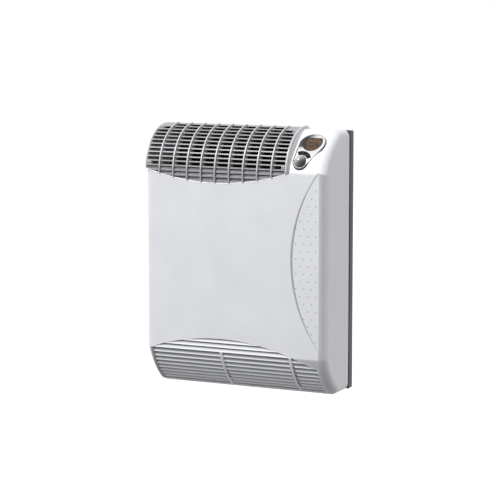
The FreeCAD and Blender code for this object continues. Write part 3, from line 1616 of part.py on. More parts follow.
def flue_socket(label, rise):
    """A socket that takes a flue pipe from the wall side, flanged behind the wall plate."""
    outer = "flue_bore_radius + flue_socket_wall"
    return turned(
        label, "flue_place", "cover_depth + frame_depth - flue_socket_depth - flue_socket_wall",
        rise, ALONG_Y,
        ("flue_tube_radius", "0"),
        (outer, "0"),
        (outer, "flue_socket_depth + flue_socket_wall - frame_wall - flue_flange_thickness"),
        ("flue_flange_radius",
         "flue_socket_depth + flue_socket_wall - frame_wall - flue_flange_thickness"),
        ("flue_flange_radius", "flue_socket_depth + flue_socket_wall - frame_wall"),
        (outer, "flue_socket_depth + flue_socket_wall - frame_wall"),
        (outer, "flue_socket_depth + flue_socket_wall"),
        ("flue_bore_radius", "flue_socket_depth + flue_socket_wall"),
        ("flue_bore_radius", "flue_socket_wall"),
        ("flue_tube_radius", "flue_socket_wall"))


SOCKET_FRONT = "cover_depth + frame_depth - flue_socket_depth - flue_socket_wall"


def exhaust_elbow():
    return tube(
        "exhaust_elbow",
        (("chamber_right", CHAMBER_MIDDLE, "exhaust_rise"),
         ("flue_place", CHAMBER_MIDDLE, "exhaust_rise"),
         ("flue_place", SOCKET_FRONT + " + flue_socket_wall", "exhaust_rise")),
        "flue_bend", "flue_tube_radius", "flue_tube_radius - flue_tube_wall")


BLOWER_FRONT = CHAMBER_MIDDLE + " - air_port_width / 2 - blower_wall"
BLOWER_DEPTH = "air_port_width + 2 * blower_wall"


def snail(radius, inset, foot):
    """The blower's outline from the front: round, with its outlet down on the left."""
    left, right = "-(%s)" % radius, "-(%s) + duct_width - 2 * (%s)" % (radius, inset)
    return outline(
        (left, "0", radius, CW),
        ("0", radius, radius, CW),
        (radius, "0", radius, CW),
        ("0", "-(%s)" % radius),
        (right, "-(%s)" % radius),
        (right, foot),
        (left, foot))


def blower_housing():
    """A snail-shaped box for the combustion air, open in front and at its downward outlet."""
    body = new_body("blower_housing", "flue_place", BLOWER_FRONT, "intake_rise")
    foot = "duct_outlet_rise - intake_rise"
    pad(body, "XZ", "0", BLOWER_DEPTH, snail("blower_radius", "0", foot))
    pad(body, "XZ", BLOWER_DEPTH, "%s - (%s) - (%s)" % (SOCKET_FRONT, BLOWER_FRONT, BLOWER_DEPTH),
        circle("0", "0", "flue_tube_radius"))
    pocket(body, "XZ", "-overrun", "%s - blower_wall + overrun" % BLOWER_DEPTH,
           snail("blower_radius - blower_wall", "blower_wall", foot + " - overrun"))
    pocket(body, "XZ", "0", "%s - (%s) + overrun" % (SOCKET_FRONT, BLOWER_FRONT),
           circle("0", "0", "flue_tube_radius - flue_tube_wall"))
    return body


def blower_cover():
    body = new_body("blower_cover", "flue_place", BLOWER_FRONT + " - blower_wall", "intake_rise")
    pad(body, "XZ", "0", "blower_wall",
        snail("blower_radius", "0", "duct_outlet_rise - intake_rise"),
        circle("0", "0", "blower_shaft_radius + impeller_gap"))
    return body


def blower_impeller():
    """The blower's wheel: a back disc, a hub and curved blades round an open eye."""
    body = new_body("blower_impeller", "flue_place", BLOWER_FRONT + " + impeller_gap",
                    "intake_rise")
    pad(body, "XZ", "0", "blower_wall",
        circle("0", "0", "impeller_radius"), circle("0", "0", "blower_shaft_radius"))
    blade = pad(body, "XZ", "blower_wall", "impeller_depth - blower_wall", blade_outline(
        "impeller_eye", "impeller_radius - blower_wall / 2", "3 * blade_sweep_angle",
        "blade_wall", "2 * blade_bow"))
    round_of(body, [blade], "Y", "impeller_blades")
    pad(body, "XZ", "blower_wall", "impeller_depth / 2 - blower_wall",
        circle("0", "0", "blower_hub_radius"), circle("0", "0", "blower_shaft_radius"))
    return body


def blower_shaft():
    body = new_body("blower_shaft", "flue_place", BLOWER_FRONT + " + impeller_gap",
                    "intake_rise")
    reach = "impeller_gap + blower_wall + blower_motor_length / 2"
    pad(body, "XZ", "-(%s)" % reach, reach + " + impeller_depth / 2",
        circle("0", "0", "blower_shaft_radius"))
    return body


def blower_motor():
    bore = "blower_shaft_radius + running_gap"
    return turned(
        "blower_motor", "flue_place", BLOWER_FRONT + " - blower_wall - blower_motor_length",
        "intake_rise", ALONG_Y,
        ("0", "0"),
        ("blower_motor_radius - impeller_gap", "0"),
        ("blower_motor_radius", "impeller_gap"),
        ("blower_motor_radius", "blower_motor_length"),
        (bore, "blower_motor_length"),
        (bore, "blower_motor_length / 2 - seat_gap"),
        ("0", "blower_motor_length / 2 - seat_gap"))


def air_duct():
    """The duct from the blower's outlet down and under the burner tray."""
    body = new_body("air_duct", "flue_place - blower_radius", "0", "0")
    tray_foot = "chamber_foot - gasket_thickness - tray_thickness"
    port_left = "chamber_right - gasket_width - air_port_length - flue_place + blower_radius"
    port_right = "chamber_right - gasket_width - flue_place + blower_radius"
    depth_start = CHAMBER_MIDDLE + " - air_port_width / 2 - duct_wall"
    depth_length = "air_port_width + 2 * duct_wall"
    pad(body, "XZ", depth_start, depth_length, outline(
        ("0", "duct_outlet_rise"),
        ("duct_width", "duct_outlet_rise"),
        ("duct_width", "duct_foot"),
        (port_left + " - duct_wall", "duct_foot"),
        (port_left + " - duct_wall", tray_foot),
        (port_right + " + duct_wall", tray_foot),
        (port_right + " + duct_wall", "duct_foot + duct_width"),
        ("0", "duct_foot + duct_width")))
    pocket(body, "XZ", depth_start + " + duct_wall", "air_port_width", outline(
        ("duct_wall", "duct_outlet_rise + overrun"),
        ("duct_width - duct_wall", "duct_outlet_rise + overrun"),
        ("duct_width - duct_wall", "duct_foot + duct_wall"),
        (port_left, "duct_foot + duct_wall"),
        (port_left, tray_foot + " + overrun"),
        (port_right, tray_foot + " + overrun"),
        (port_right, "duct_foot + duct_width - duct_wall"),
        ("duct_wall", "duct_foot + duct_width - duct_wall")))
    return body


# Gas train

def gas_union():
    """The gas connection: a threaded nipple that points down, under a hexagon union."""
    body = new_body("gas_union", "gas_place", "gas_depth", "frame_foot_rise")
    turn_up(body,
            ("nipple_bore", "0"),
            ("nipple_radius", "0"),
            ("nipple_radius", "nipple_length"),
            ("union_radius", "nipple_length"),
            ("union_radius", "nipple_length + union_height"),
            ("nipple_bore", "nipple_length + union_height"))
    return body


def gas_pipe():
    body = new_body("gas_pipe", "gas_place", "gas_depth",
                    "frame_foot_rise + nipple_length + union_height")
    pad(body, "XY", "0", "valve_foot - frame_foot_rise - nipple_length - union_height",
        circle("0", "0", "gas_pipe_radius"),
        circle("0", "0", "gas_pipe_radius - gas_pipe_wall"))
    return body


def gas_valve():
    """The valve block with its two coils on top and a bracket plate to the wall."""
    body = new_body("gas_valve", "gas_place", "gas_depth", "valve_foot")
    half = "valve_width / 2"
    pad(body, "XY", "0", "valve_height",
        rectangle("-(%s)" % half, half, "-valve_depth / 2", "valve_depth / 2"))
    for middle in ("-coil_radius", "coil_radius"):
        pad(body, "XY", "valve_height", "coil_height",
            circle(middle, "0", "coil_radius - seat_gap"))
    pad(body, "XZ", "valve_depth / 2", WALL_PLATE + " - gas_depth - valve_depth / 2",
        rectangle("-(%s)" % half, half, "valve_height / 3", "2 * valve_height / 3"))
    return body


def manifold_pipe():
    run = "chamber_right + manifold_clearance"
    level = "chamber_foot + burner_rise"
    return tube(
        "manifold_pipe",
        (("gas_place - valve_width / 2", "gas_depth", level),
         (run, "gas_depth", level),
         (run, CHAMBER_MIDDLE + " + injector_radius + chamber_wall", level)),
        "manifold_bend", "manifold_radius", "manifold_radius - gas_pipe_wall")


# Electronics

def board_tray():
    """A folded sheet in the lower right corner that carries the main board."""
    body = new_body("board_tray", "0", "0", "tray_foot")
    pad(body, "XY", "0", "tray_height", outline(
        ("tray_left", "tray_front"),
        ("tray_right", "tray_front"),
        ("tray_right", WALL_PLATE),
        ("tray_right - tray_wall", WALL_PLATE),
        ("tray_right - tray_wall", "tray_front + tray_wall"),
        ("tray_left + tray_wall", "tray_front + tray_wall"),
        ("tray_left + tray_wall", WALL_PLATE),
        ("tray_left", WALL_PLATE)))
    return body


def main_board():
    """The main board on its standoffs, with transformer, relays, capacitor and connectors."""
    body = new_body("main_board", "tray_left", "tray_front", "tray_foot + main_board_rise")
    width = "tray_right - tray_left - main_board_margin"
    height = "tray_height - main_board_rise - main_board_margin"
    board_front = "-standoff - board_thickness"
    pad(body, "XZ", board_front, "board_thickness",
        rectangle("main_board_margin", width, "0", height))
    inset = "main_board_margin + 2 * standoff_radius"
    for x in (inset, "%s - 2 * standoff_radius" % width):
        for z in ("2 * standoff_radius", "%s - 2 * standoff_radius" % height):
            pad(body, "XZ", "-standoff", "standoff", circle(x, z, "standoff_radius"))
    for left_share, right_share, low_share, high_share, rise_share in BOARD_PART_SHARES:
        pad(body, "XZ", "%s - terminal_depth * %s" % (board_front, rise_share),
            "terminal_depth * %s" % rise_share,
            rectangle("main_board_margin + (%s - main_board_margin) * %s" % (width, left_share),
                      "main_board_margin + (%s - main_board_margin) * %s" % (width, right_share),
                      "(%s) * %s" % (height, low_share),
                      "(%s) * %s" % (height, high_share)))
    return body


# The parts on the main board, as shares of its width, its height and the tallest part.
BOARD_PART_SHARES = (
    ("0.08", "0.46", "0.14", "0.50", "1"),
    ("0.56", "0.72", "0.16", "0.40", "0.7"),
    ("0.78", "0.94", "0.16", "0.40", "0.7"),
    ("0.12", "0.30", "0.62", "0.78", "0.9"),
    ("0.40", "0.66", "0.60", "0.72", "0.2"),
    ("0.20", "0.80", "0.88", "0.97", "0.5"),
)


def terminal_block():
    body = new_body("terminal_block", "(tray_left + tray_right) / 2", "tray_front", "tray_foot")
    pad(body, "XZ", "-terminal_depth", "terminal_depth",
        rectangle("-terminal_length / 2", "terminal_length / 2", "seat_gap",
                  "seat_gap + terminal_height"))
    return body


def cable_gland():
    """The mains inlet through the wall plate, flanged inside it."""
    return turned(
        "cable_gland", "gland_place", "cover_depth + frame_depth - gland_length", "gland_rise",
        ALONG_Y,
        ("gland_bore", "0"),
        ("gland_radius", "0"),
        ("gland_radius", "gland_length - 2 * frame_wall"),
        ("gland_flange_radius", "gland_length - 2 * frame_wall"),
        ("gland_flange_radius", "gland_length - frame_wall"),
        ("gland_radius", "gland_length - frame_wall"),
        ("gland_radius", "gland_length"),
        ("gland_bore", "gland_length"))


def pressure_switch():
    """A round diaphragm switch that proves the blower's draught."""
    return turned(
        "pressure_switch", "gas_place", WALL_PLATE, "pressure_switch_rise",
        FreeCAD.Rotation(FreeCAD.Vector(0, 0, 1), FreeCAD.Vector(0, -1, 0)),
        ("0", "0"),
        ("pressure_switch_radius", "0"),
        ("pressure_switch_radius", "pressure_switch_depth / 2"),
        ("pressure_switch_radius * 3 / 4", "pressure_switch_depth / 2"),
        ("pressure_switch_radius * 3 / 4", "pressure_switch_depth"),
        ("0", "pressure_switch_depth"))


def spark_generator():
    body = new_body("spark_generator", "gas_place", WALL_PLATE + " - spark_depth", "spark_rise")
    pad(body, "XZ", "0", "spark_depth",
        rectangle("-spark_width / 2", "spark_width / 2", "0", "spark_height"))
    return body


# Fixings

def cover_tabs():
    """Two tongues of the frame that the cover's underside is screwed to."""
    body = new_body("cover_tabs")
    body.AllowCompound = True
    back = "cover_depth + shadow_gap - lip_reach"
    front = back + " - tab_reach"
    lip = "back_radius + rim_return + seat_gap"
    for middle in ("-tab_place", "tab_place"):
        pad(body, "YZ", middle + " - tab_width / 2", "tab_width", outline(
            (front, "cover_wall"),
            (back + " - 2 * tab_wall", "cover_wall"),
            (back, "cover_wall + tab_wall"),
            (back, lip + " + lip_wall"),
            (back + " - tab_wall", lip + " + lip_wall"),
            (back + " - tab_wall", "cover_wall + 2 * tab_wall"),
            (back + " - 3 * tab_wall", "cover_wall + tab_wall"),
            (front, "cover_wall + tab_wall")))
    pocket(body, "XY", "0", "cover_wall + tab_wall + overrun",
           circle("-tab_place", TAB_MIDDLE, "screw_radius"),
           circle("tab_place", TAB_MIDDLE, "screw_radius"))
    return body


def cover_screws():
    """The two screws that hold the cover, put in from below."""
    body = new_body("cover_screws", "0", TAB_MIDDLE)
    body.AllowCompound = True
    for middle in ("-tab_place", "tab_place"):
        turned_about(
            body, "Revolution", "XZ", "0", (middle, "0"), (middle, "screw_length"),
            (middle, "-screw_head_height"),
            (middle + " + screw_radius", "-screw_head_height"),
            (middle + " + screw_head_radius", "-screw_head_height / 2"),
            (middle + " + screw_head_radius", "0"),
            (middle + " + screw_radius", "0"),
            (middle + " + screw_radius", "cover_screw_length"),
            (middle, "cover_screw_length"))
    return body


# Building and writing

def build():
    """Makes every piece of the heater."""
    fill_sheet()
    front_cover()
    rear_frame()
    outlet_grille()
    grille_screws()
    intake_grille()
    control_bezel()
    control_fascia()
    display_window()
    display_module()
    control_board()
    control_housing()
    for index, side in enumerate(("right", "middle", "left")):
        key(index, side)
    tact_switches()
    encoder_body()
    encoder_plunger()
    control_knob()
    fan_rotor()
    fan_shaft()
    fan_motor()
    fan_bearing()
    fan_end_plate("left", "fan_left - end_plate_gap - end_plate_wall", "motor_boss_radius")
    fan_end_plate("right", "fan_left + fan_length + end_plate_gap", "bearing_radius")
    fan_scroll()
    fan_tongue()
    heat_exchanger()
    chamber_gasket()
    burner_tray()
    burner_tube()
    injector()
    electrode("ignition_electrode", "electrode_place")
    electrode("flame_sensor", "sensor_place")
    overheat_thermostat()
    exchanger_brackets()
    insulation_panel()
    heat_shield()
    air_deflector()
    flue_socket("intake_socket", "intake_rise")
    flue_socket("exhaust_socket", "exhaust_rise")
    exhaust_elbow()
    blower_housing()
    blower_cover()
    blower_impeller()
    blower_shaft()
    blower_motor()
    air_duct()
    gas_union()
    gas_pipe()
    gas_valve()
    manifold_pipe()
    board_tray()
    main_board()
    terminal_block()
    cable_gland()
    pressure_switch()
    spark_generator()
    cover_tabs()
    cover_screws()
    document.recompute()


def check():
    """Stops when an object of the document has failed or a piece isn't a sound solid."""
    for item in document.Objects:
        if "Invalid" in item.State or "Error" in item.State:
            raise RuntimeError("%s has failed" % item.Label)
    for piece in pieces:
        shape = piece.Shape
        if shape.isNull() or not shape.isValid() or not shape.Solids:
            raise RuntimeError("%s isn't a sound solid" % piece.Label)


def write():
    os.makedirs("parts", exist_ok=True)
    for piece in pieces:
        piece.Shape.exportStep("parts/%s.step" % piece.Label)


build()
check()
write()
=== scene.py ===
import math

import bmesh
import bpy
from mathutils import Euler, Matrix, Vector


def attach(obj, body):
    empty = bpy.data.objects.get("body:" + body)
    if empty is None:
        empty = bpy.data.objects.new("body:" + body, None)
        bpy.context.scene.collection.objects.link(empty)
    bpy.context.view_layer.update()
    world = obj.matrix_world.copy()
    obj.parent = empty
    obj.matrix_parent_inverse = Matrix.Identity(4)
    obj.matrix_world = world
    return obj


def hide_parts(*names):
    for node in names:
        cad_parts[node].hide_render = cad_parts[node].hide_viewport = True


# A wall-hung gas heater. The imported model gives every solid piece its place. This script gives
# each piece its finish, adds the small parts that are too fine for the solid model, and sets the
# camera and the lamps.

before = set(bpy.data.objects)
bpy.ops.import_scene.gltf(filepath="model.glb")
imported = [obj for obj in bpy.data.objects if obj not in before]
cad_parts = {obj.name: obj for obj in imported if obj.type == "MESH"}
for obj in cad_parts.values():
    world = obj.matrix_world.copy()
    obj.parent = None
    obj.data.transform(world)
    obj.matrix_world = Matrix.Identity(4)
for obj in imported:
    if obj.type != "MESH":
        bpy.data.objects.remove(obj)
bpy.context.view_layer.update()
mm = 0.001


# Sizes of the solid pieces, in millimetres and degrees, from the casing's front foot

casing_width, casing_depth, casing_height = 560, 195, 740
edge_radius = 22
lower_fold, upper_fold = 111, 625
field_sink = 1.6
outlet_axis_depth, outlet_axis_rise = 130, 614
outlet_radius = 130.5
chin_axis_depth, chin_axis_rise = 203.4, 180.8
chin_radius = 215
slat_pitch = 3.989
field_right, field_rise, field_radius = 577, 385, 404
lens_left, lens_right, lens_drop = -279, 160.5, 35
dots_right, dots_rise = 219, 380.3
screw_left, screw_right = -269.1, 150.6
low_screw_turn, high_screw_turn = 11.63, 66.9
shoulder_radius = 188
panel_right, panel_depth, panel_rise, panel_tilt = 206, 31.127, 683.381, 51.8
low_lobe = (-10.2, -29.5, 22)
high_lobe = (10.2, 29.5, 38)
window_centre = (10.2, 32.8)

# The camera's place and lens, fitted to the photograph's perspective

camera_place, camera_aim = (2536.1, -5164.5, 1169.1), (16.27, 70, 396.8)
camera_lens = 149.6


def spot(right, depth, rise):
    """A place given from the casing's front foot, in metres in the heater's own frame."""
    return Vector((right, depth - casing_depth, rise - casing_height / 2)) * mm


panel_turn = Euler((math.radians(panel_tilt), 0, 0))


def panel_spot(across, along, out):
    """A place by the control panel's middle: across it, up along it and out of the shoulder."""
    bulge = math.sqrt(shoulder_radius ** 2 - along ** 2) - shoulder_radius
    local = Vector((across, along, bulge + out)) * mm
    return spot(panel_right, panel_depth, panel_rise) + panel_turn.to_matrix() @ local


# Materials

def colour(code):
    """A hex colour as the linear values that a shader takes."""
    parts = [int(code[place:place + 2], 16) / 255 for place in (1, 3, 5)]
    return tuple(part / 12.92 if part <= 0.04045 else ((part + 0.055) / 1.055) ** 2.4
                 for part in parts) + (1,)


def add_node(tree, kind, inputs=(), **settings):
    """Adds a node with its settings. An input takes a value or another node's output."""
    node = tree.nodes.new(kind)
    for name, setting in settings.items():
        setattr(node, name, setting)
    for socket, given in dict(inputs).items():
        if isinstance(given, bpy.types.NodeSocket):
            tree.links.new(given, node.inputs[socket])
        else:
            node.inputs[socket].default_value = given
    return node


def new_material(name, base, roughness, **sockets):
    """A material with one shader, whose even values are set on its own sockets."""
    material = bpy.data.materials.new(name)
    material.use_nodes = True
    tree = material.node_tree
    shader = tree.nodes["Principled BSDF"]
    shader.inputs["Base Color"].default_value = colour(base)
    shader.inputs["Roughness"].default_value = roughness
    for socket, given in sockets.items():
        shader.inputs[socket.replace("_", " ")].default_value = given
    return material, tree, shader


def patches(tree, size, low, high, stretch=(1, 1, 1), detail=2.0):
    """A pattern between two levels, whose patches are about size millimetres across."""
    where = add_node(tree, "ShaderNodeTexCoord").outputs["Object"]
    scaled = add_node(tree, "ShaderNodeMapping", {"Vector": where, "Scale": stretch})
    cloud = add_node(tree, "ShaderNodeTexNoise", {
        "Vector": scaled.outputs["Vector"], "Scale": 1 / (size * mm), "Detail": detail})
    return add_node(tree, "ShaderNodeMapRange", {
        "Value": cloud.outputs["Fac"], "From Min": 0.3, "From Max": 0.7, "To Min": low,
        "To Max": high}).outputs["Result"]


def mottled(tree, size, low, high, stretch=(1, 1, 1), detail=2.0):
    """A colour that wanders between two hex colours, in patches about size millimetres across."""
    return add_node(tree, "ShaderNodeMix", {
        0: patches(tree, size, 0, 1, stretch, detail), 6: colour(low), 7: colour(high)},
        data_type="RGBA").outputs[2]


def place_of(tree):
    """Where a point lies in the heater's own frame: its X, Y and Z, in metres."""
    where = add_node(tree, "ShaderNodeTexCoord").outputs["Object"]
    return add_node(tree, "ShaderNodeSeparateXYZ", {"Vector": where}).outputs


def area_within(tree, *edges):
    """
    How far a point is inside soft edges, from zero to one. An edge has the value that it is
    measured by, where it starts and where it is full. A fourth number is what is left outside it.
    """
    shares = [add_node(tree, "ShaderNodeMapRange", {
        "Value": value, "From Min": start, "From Max": full,
        "To Min": outside[0] if outside else 0}, interpolation_type="SMOOTHSTEP").outputs["Result"]
        for value, start, full, *outside in edges]
    area = shares[0]
    for share in shares[1:]:
        area = add_node(tree, "ShaderNodeMath", {0: area, 1: share},
                        operation="MULTIPLY").outputs["Value"]
    return area


def laid_over(tree, under, over, *edges):
    """One colour laid over another within soft edges. Each is a hex colour or a node's output."""
    under, over = [given if isinstance(given, bpy.types.NodeSocket) else colour(given)
                   for given in (under, over)]
    return add_node(tree, "ShaderNodeMix", {0: area_within(tree, *edges), 6: under, 7: over},
                    data_type="RGBA").outputs[2]


def finish(name, low, high, roughness, patch, swing=0, grain=None, peak=0, stretch=(1, 1, 1),
           **sockets):
    """
    A surface whose colour wanders between two over patches, whose roughness swings about its
    middle, and whose skin has a raised grain. Patch, grain and peak are in millimetres.
    """
    material, tree, shader = new_material(name, high, roughness, **sockets)
    tree.links.new(mottled(tree, patch, low, high, stretch), shader.inputs["Base Color"])
    if swing:
        tree.links.new(patches(tree, patch, roughness - swing, roughness + swing, stretch),
                       shader.inputs["Roughness"])
    if grain:
        bump = add_node(tree, "ShaderNodeBump", {
            "Height": patches(tree, grain, 0, 1, stretch), "Distance": peak * mm})
        tree.links.new(bump.outputs["Normal"], shader.inputs["Normal"])
    return material


# Baked powder paint, with the slight orange peel that flowed powder leaves, about 1 mm across in
# the real coat and drawn 4 mm across to show.
frame_paint = finish("frame_grey_powder_coat", "#3C3F42", "#434649", 0.5, 60, 0.05, 4, 0.03)
# The thin bead that the sheet is folded into below the outlet, painted whiter than the casing: a
# painted highlight on its rounded edge.
bead_painted_highlight = finish("bead_painted_highlight_coat", "#F4F4F6", "#FAFAFB", 0.4, 40)
# The margin beside the slats, painted grey: painted shade where the rounded edge turns from the
# lamp.
margin_painted_shade = finish("margin_painted_shade_coat", "#9C9EA2", "#A2A4A8", 0.45, 40)
# The slanting edge of the dotted field, in a satin grey darker than the front: painted shade on the
# step's face, which turns from the lamp.
field_edge_painted_shade = finish("edge_grey_painted_shade", "#A2A4A8", "#A9ABAF", 0.45, 30, 0.04)
# Matt black heat-proof paint on sheet, whose black is also painted shade that keeps the inside
# dark.
duct_black_and_shade = finish("duct_black_heat_paint_and_shade", "#060606", "#0B0B0C", 0.8, 30, 0.05, 3, 0.03,
                    Specular_IOR_Level=0.2)
# Moulded ABS, whose fine sparked grain gives a soft, even sheen.
black_plastic = finish("black_abs", "#101112", "#18191A", 0.4, 12, 0, 0.8, 0.01, IOR=1.53)
# Soft-touch black lacquer, which hardly shines, with worn lighter spots.
key_lacquer = finish("key_soft_black", "#040404", "#1C1D1E", 0.7, 1.6, 0, 0.8, 0.01,
                     Specular_IOR_Level=0.15)
# Inner mouldings, boards and rubber, which are plain and dull with a faint grain.
chamber_plastic = finish("housing_black_abs", "#0D0D0D", "#131313", 0.6, 12, 0, 0.8, 0.03)
board_laminate = finish("board_green_laminate", "#12401F", "#1A5129", 0.45, 12, 0, 0.8, 0.02)
terminal_plastic = finish("terminal_white_polyamide", "#C9C8BF", "#D6D5CC", 0.5, 12, 0, 0.8, 0.02)
# The same black also serves as painted shade: the dark edge along the bezel and the plugs in the
# chin's grooves.
rubber_and_shade_black = finish("black_rubber_and_painted_shade", "#0C0C0C", "#161616", 0.75, 12, 0, 0.8, 0.03)
# Plated or machined metal, with fine marks along the way that it was worked.
screw_zinc = finish("screw_bright_zinc", "#8B8C8E", "#9B9C9E", 0.35, 1.5, 0.08, Metallic=1.0)
motor_steel = finish("motor_drawn_steel", "#6E7072", "#7E8082", 0.4, 1.5, 0.08,
                     stretch=(0.1, 1, 1), Metallic=1.0)
brass = finish("turned_brass", "#A8873C", "#BE9C4E", 0.3, 1.5, 0.08, Metallic=1.0)
# Castings, bare or enamelled: sand-grained, dull and a little patchy.
cast_aluminium = finish("cast_aluminium", "#A2A4A6", "#B2B4B6", 0.5, 18, 0.05, 1.2, 0.08,
                        Metallic=1.0)
heat_black = finish("exchanger_black_enamel", "#0F0F10", "#1B1B1C", 0.75, 18, 0.05, 1.2, 0.08)
# Fired ceramic: its glaze is smooth and shines.
ceramic = finish("glazed_ceramic", "#DAD6CB", "#E6E2D8", 0.25, 12, 0, 0.8, 0.01)
# Pressed mineral fibre: matt, with short threads lying every way.
wool = finish("mineral_fibre_board", "#A9A18C", "#C7C0AD", 0.95, 2.5, 0.03, 2.5, 0.4, (1, 1, 0.2))
# The dots of the front, a satin grey darker than the powder coat: painted shade, as in small
# embossed dimples.
dot_painted_shade = finish("dot_grey_painted_shade", "#8E9094", "#9A9CA0", 0.45, 6)
# Dark print of the display's figures behind the window.
display_ink = finish("display_brown_ink", "#3A2410", "#4A3018", 0.6, 4)


def distance_from(tree, axis_depth, axis_rise):
    """How far a point lies from a level axis that runs from left to right, in metres."""
    where = add_node(tree, "ShaderNodeTexCoord").outputs["Object"]
    flat = add_node(tree, "ShaderNodeVectorMath", {0: where, 1: (0, 1, 1)}, operation="MULTIPLY")
    return add_node(tree, "ShaderNodeVectorMath", {
        0: flat.outputs["Vector"], 1: spot(0, axis_depth, axis_rise)},
        operation="DISTANCE").outputs["Value"]


def grille_lacquer_and_light_coat():
    """
    Silver lacquer on moulded ABS, with painted light: a painted highlight on the ribs' crowns, an
    even colour on the bars' faces and painted shade on the walls inside the slots, except those
    facing left or right, which are painted light. Painted shade also makes the apron darker.
    """
    material, tree, shader = new_material("grille_silver_lacquer_and_painted_light", "#B4B5B7", 0.45, Metallic=0.1)
    apron_top = spot(0, 0, outlet_axis_rise + 20)[2]
    apron_shade_edge = (place_of(tree)["Z"], apron_top - 8 * mm, apron_top)
    # Painted shade: the apron below the grille's top is darker, on the faces and the crowns.
    face = laid_over(tree, "#8A8B8D", "#97989A", apron_shade_edge)
    # Painted highlight on the ribs' crowns.
    crown_highlight = laid_over(tree, "#A6A7A9", "#C0C0C2", apron_shade_edge)
    faced = add_node(tree, "ShaderNodeNewGeometry").outputs["True Normal"]
    sideways = add_node(tree, "ShaderNodeMath", {
        0: add_node(tree, "ShaderNodeSeparateXYZ", {"Vector": faced}).outputs["X"]},
        operation="ABSOLUTE").outputs["Value"]
    # Painted shade inside the slots, and painted light on the walls that face left or right.
    slot_wall_shade = laid_over(tree, "#46474A", "#D8D9DB", (sideways, 0.5, 0.9))
    reach = distance_from(tree, outlet_axis_depth, outlet_axis_rise)
    up_to_face = (reach, (outlet_radius - 1.2) * mm, (outlet_radius - 0.2) * mm)
    up_to_crown = (reach, (outlet_radius + 0.3) * mm, (outlet_radius + 2) * mm)
    coat = laid_over(tree, laid_over(tree, slot_wall_shade, face, up_to_face), crown_highlight, up_to_crown)
    tree.links.new(coat, shader.inputs["Base Color"])
    tree.links.new(patches(tree, 14, 0.41, 0.5), shader.inputs["Roughness"])
    return material


def sink_of(tree):
    """How far a point lies behind the front, or inside the chin's curve, in metres."""
    place = place_of(tree)
    from_front = add_node(tree, "ShaderNodeMath", {0: place["Y"], 1: casing_depth * mm},
                          operation="ADD").outputs["Value"]
    from_chin = add_node(tree, "ShaderNodeMath", {
        0: chin_radius * mm, 1: distance_from(tree, chin_axis_depth, chin_axis_rise)},
        operation="SUBTRACT").outputs["Value"]
    below = add_node(tree, "ShaderNodeMath", {0: place["Z"], 1: spot(0, 0, lower_fold)[2]},
                     operation="LESS_THAN").outputs["Value"]
    return add_node(tree, "ShaderNodeMix", {0: below, 2: from_front, 3: from_chin}).outputs[0]


def louvre_coat_and_shade():
    """The casing's powder coat on the louvres, with painted shade that darkens it deep inside."""
    material, tree, shader = new_material("louvre_powder_coat_and_painted_shade", "#DEDFE3", 0.4, IOR=1.5)
    # Painted shade: darker the deeper a point lies behind the front or inside the chin's curve.
    coat = laid_over(tree, "#E4E5E9", "#96989C", (sink_of(tree), 0.4 * mm, 6 * mm))
    tree.links.new(coat, shader.inputs["Base Color"])
    tree.links.new(patches(tree, 60, 0.36, 0.44), shader.inputs["Roughness"])
    return material


def casing_coat_and_shade():
    """
    Baked powder paint. The flowed powder leaves a slight orange peel, about 1 mm across in the
    real coat, which is drawn 4 mm across to show at all. Painted shade darkens the coat from the
    crease where the sheet bends to the right side, and on the chin, which faces down.
    """
    material, tree, shader = new_material("casing_powder_coat_and_painted_shade", "#DEDFE3", 0.36, IOR=1.5)
    sink, place = sink_of(tree), place_of(tree)
    crease = (casing_width / 2 - edge_radius) * mm
    fold, shoulder = spot(0, 0, lower_fold)[2], spot(0, 0, upper_fold)[2]
    # Painted shade on the chin, below the lower fold.
    coat = laid_over(tree, mottled(tree, 90, "#D9DADF", "#DEDFE3"), "#C3C4C8",
                     (place["Z"], fold + 1 * mm, fold - 3 * mm), (sink, 20 * mm, 1 * mm))
    # Painted shade in a band from the crease to the right side, weaker on the chin.
    coat = laid_over(tree, coat, "#B4B5B9",
                     (place["X"], crease - 0.5 * mm, crease + 1.5 * mm),
                     (sink, 14 * mm, 0),
                     (place["Z"], shoulder + 4 * mm, shoulder),
                     (place["Z"], fold - 6 * mm, fold + 1 * mm, 0.35))
    tree.links.new(coat, shader.inputs["Base Color"])
    tree.links.new(patches(tree, 90, 0.32, 0.4), shader.inputs["Roughness"])
    bump = add_node(tree, "ShaderNodeBump", {"Height": patches(tree, 4, 0, 1),
                                             "Distance": 0.02 * mm})
    tree.links.new(bump.outputs["Normal"], shader.inputs["Normal"])
    return material


def panel_place_of(tree):
    """Where a point lies on the control panel: across, up along and out of it, in metres."""
    where = add_node(tree, "ShaderNodeTexCoord").outputs["Object"]
    middle = spot(panel_right, panel_depth, panel_rise)
    local = add_node(tree, "ShaderNodeMapping", {
        "Vector": where, "Location": middle, "Rotation": panel_turn}, vector_type="TEXTURE")
    return add_node(tree, "ShaderNodeSeparateXYZ", {"Vector": local.outputs["Vector"]}).outputs


def about(tree, place, centre):
    """How far a point of the panel lies from a place on it, and which way, in metres and turn."""
    right, up = [add_node(tree, "ShaderNodeMath", {0: place[axis], 1: part * mm},
                          operation="SUBTRACT").outputs["Value"]
                 for axis, part in zip("XY", centre)]
    flat = add_node(tree, "ShaderNodeCombineXYZ", {"X": right, "Y": up}).outputs["Vector"]
    reach = add_node(tree, "ShaderNodeVectorMath", {0: flat}, operation="LENGTH")
    turn = add_node(tree, "ShaderNodeMath", {0: up, 1: right}, operation="ARCTAN2")
    return reach.outputs["Value"], turn.outputs["Value"]


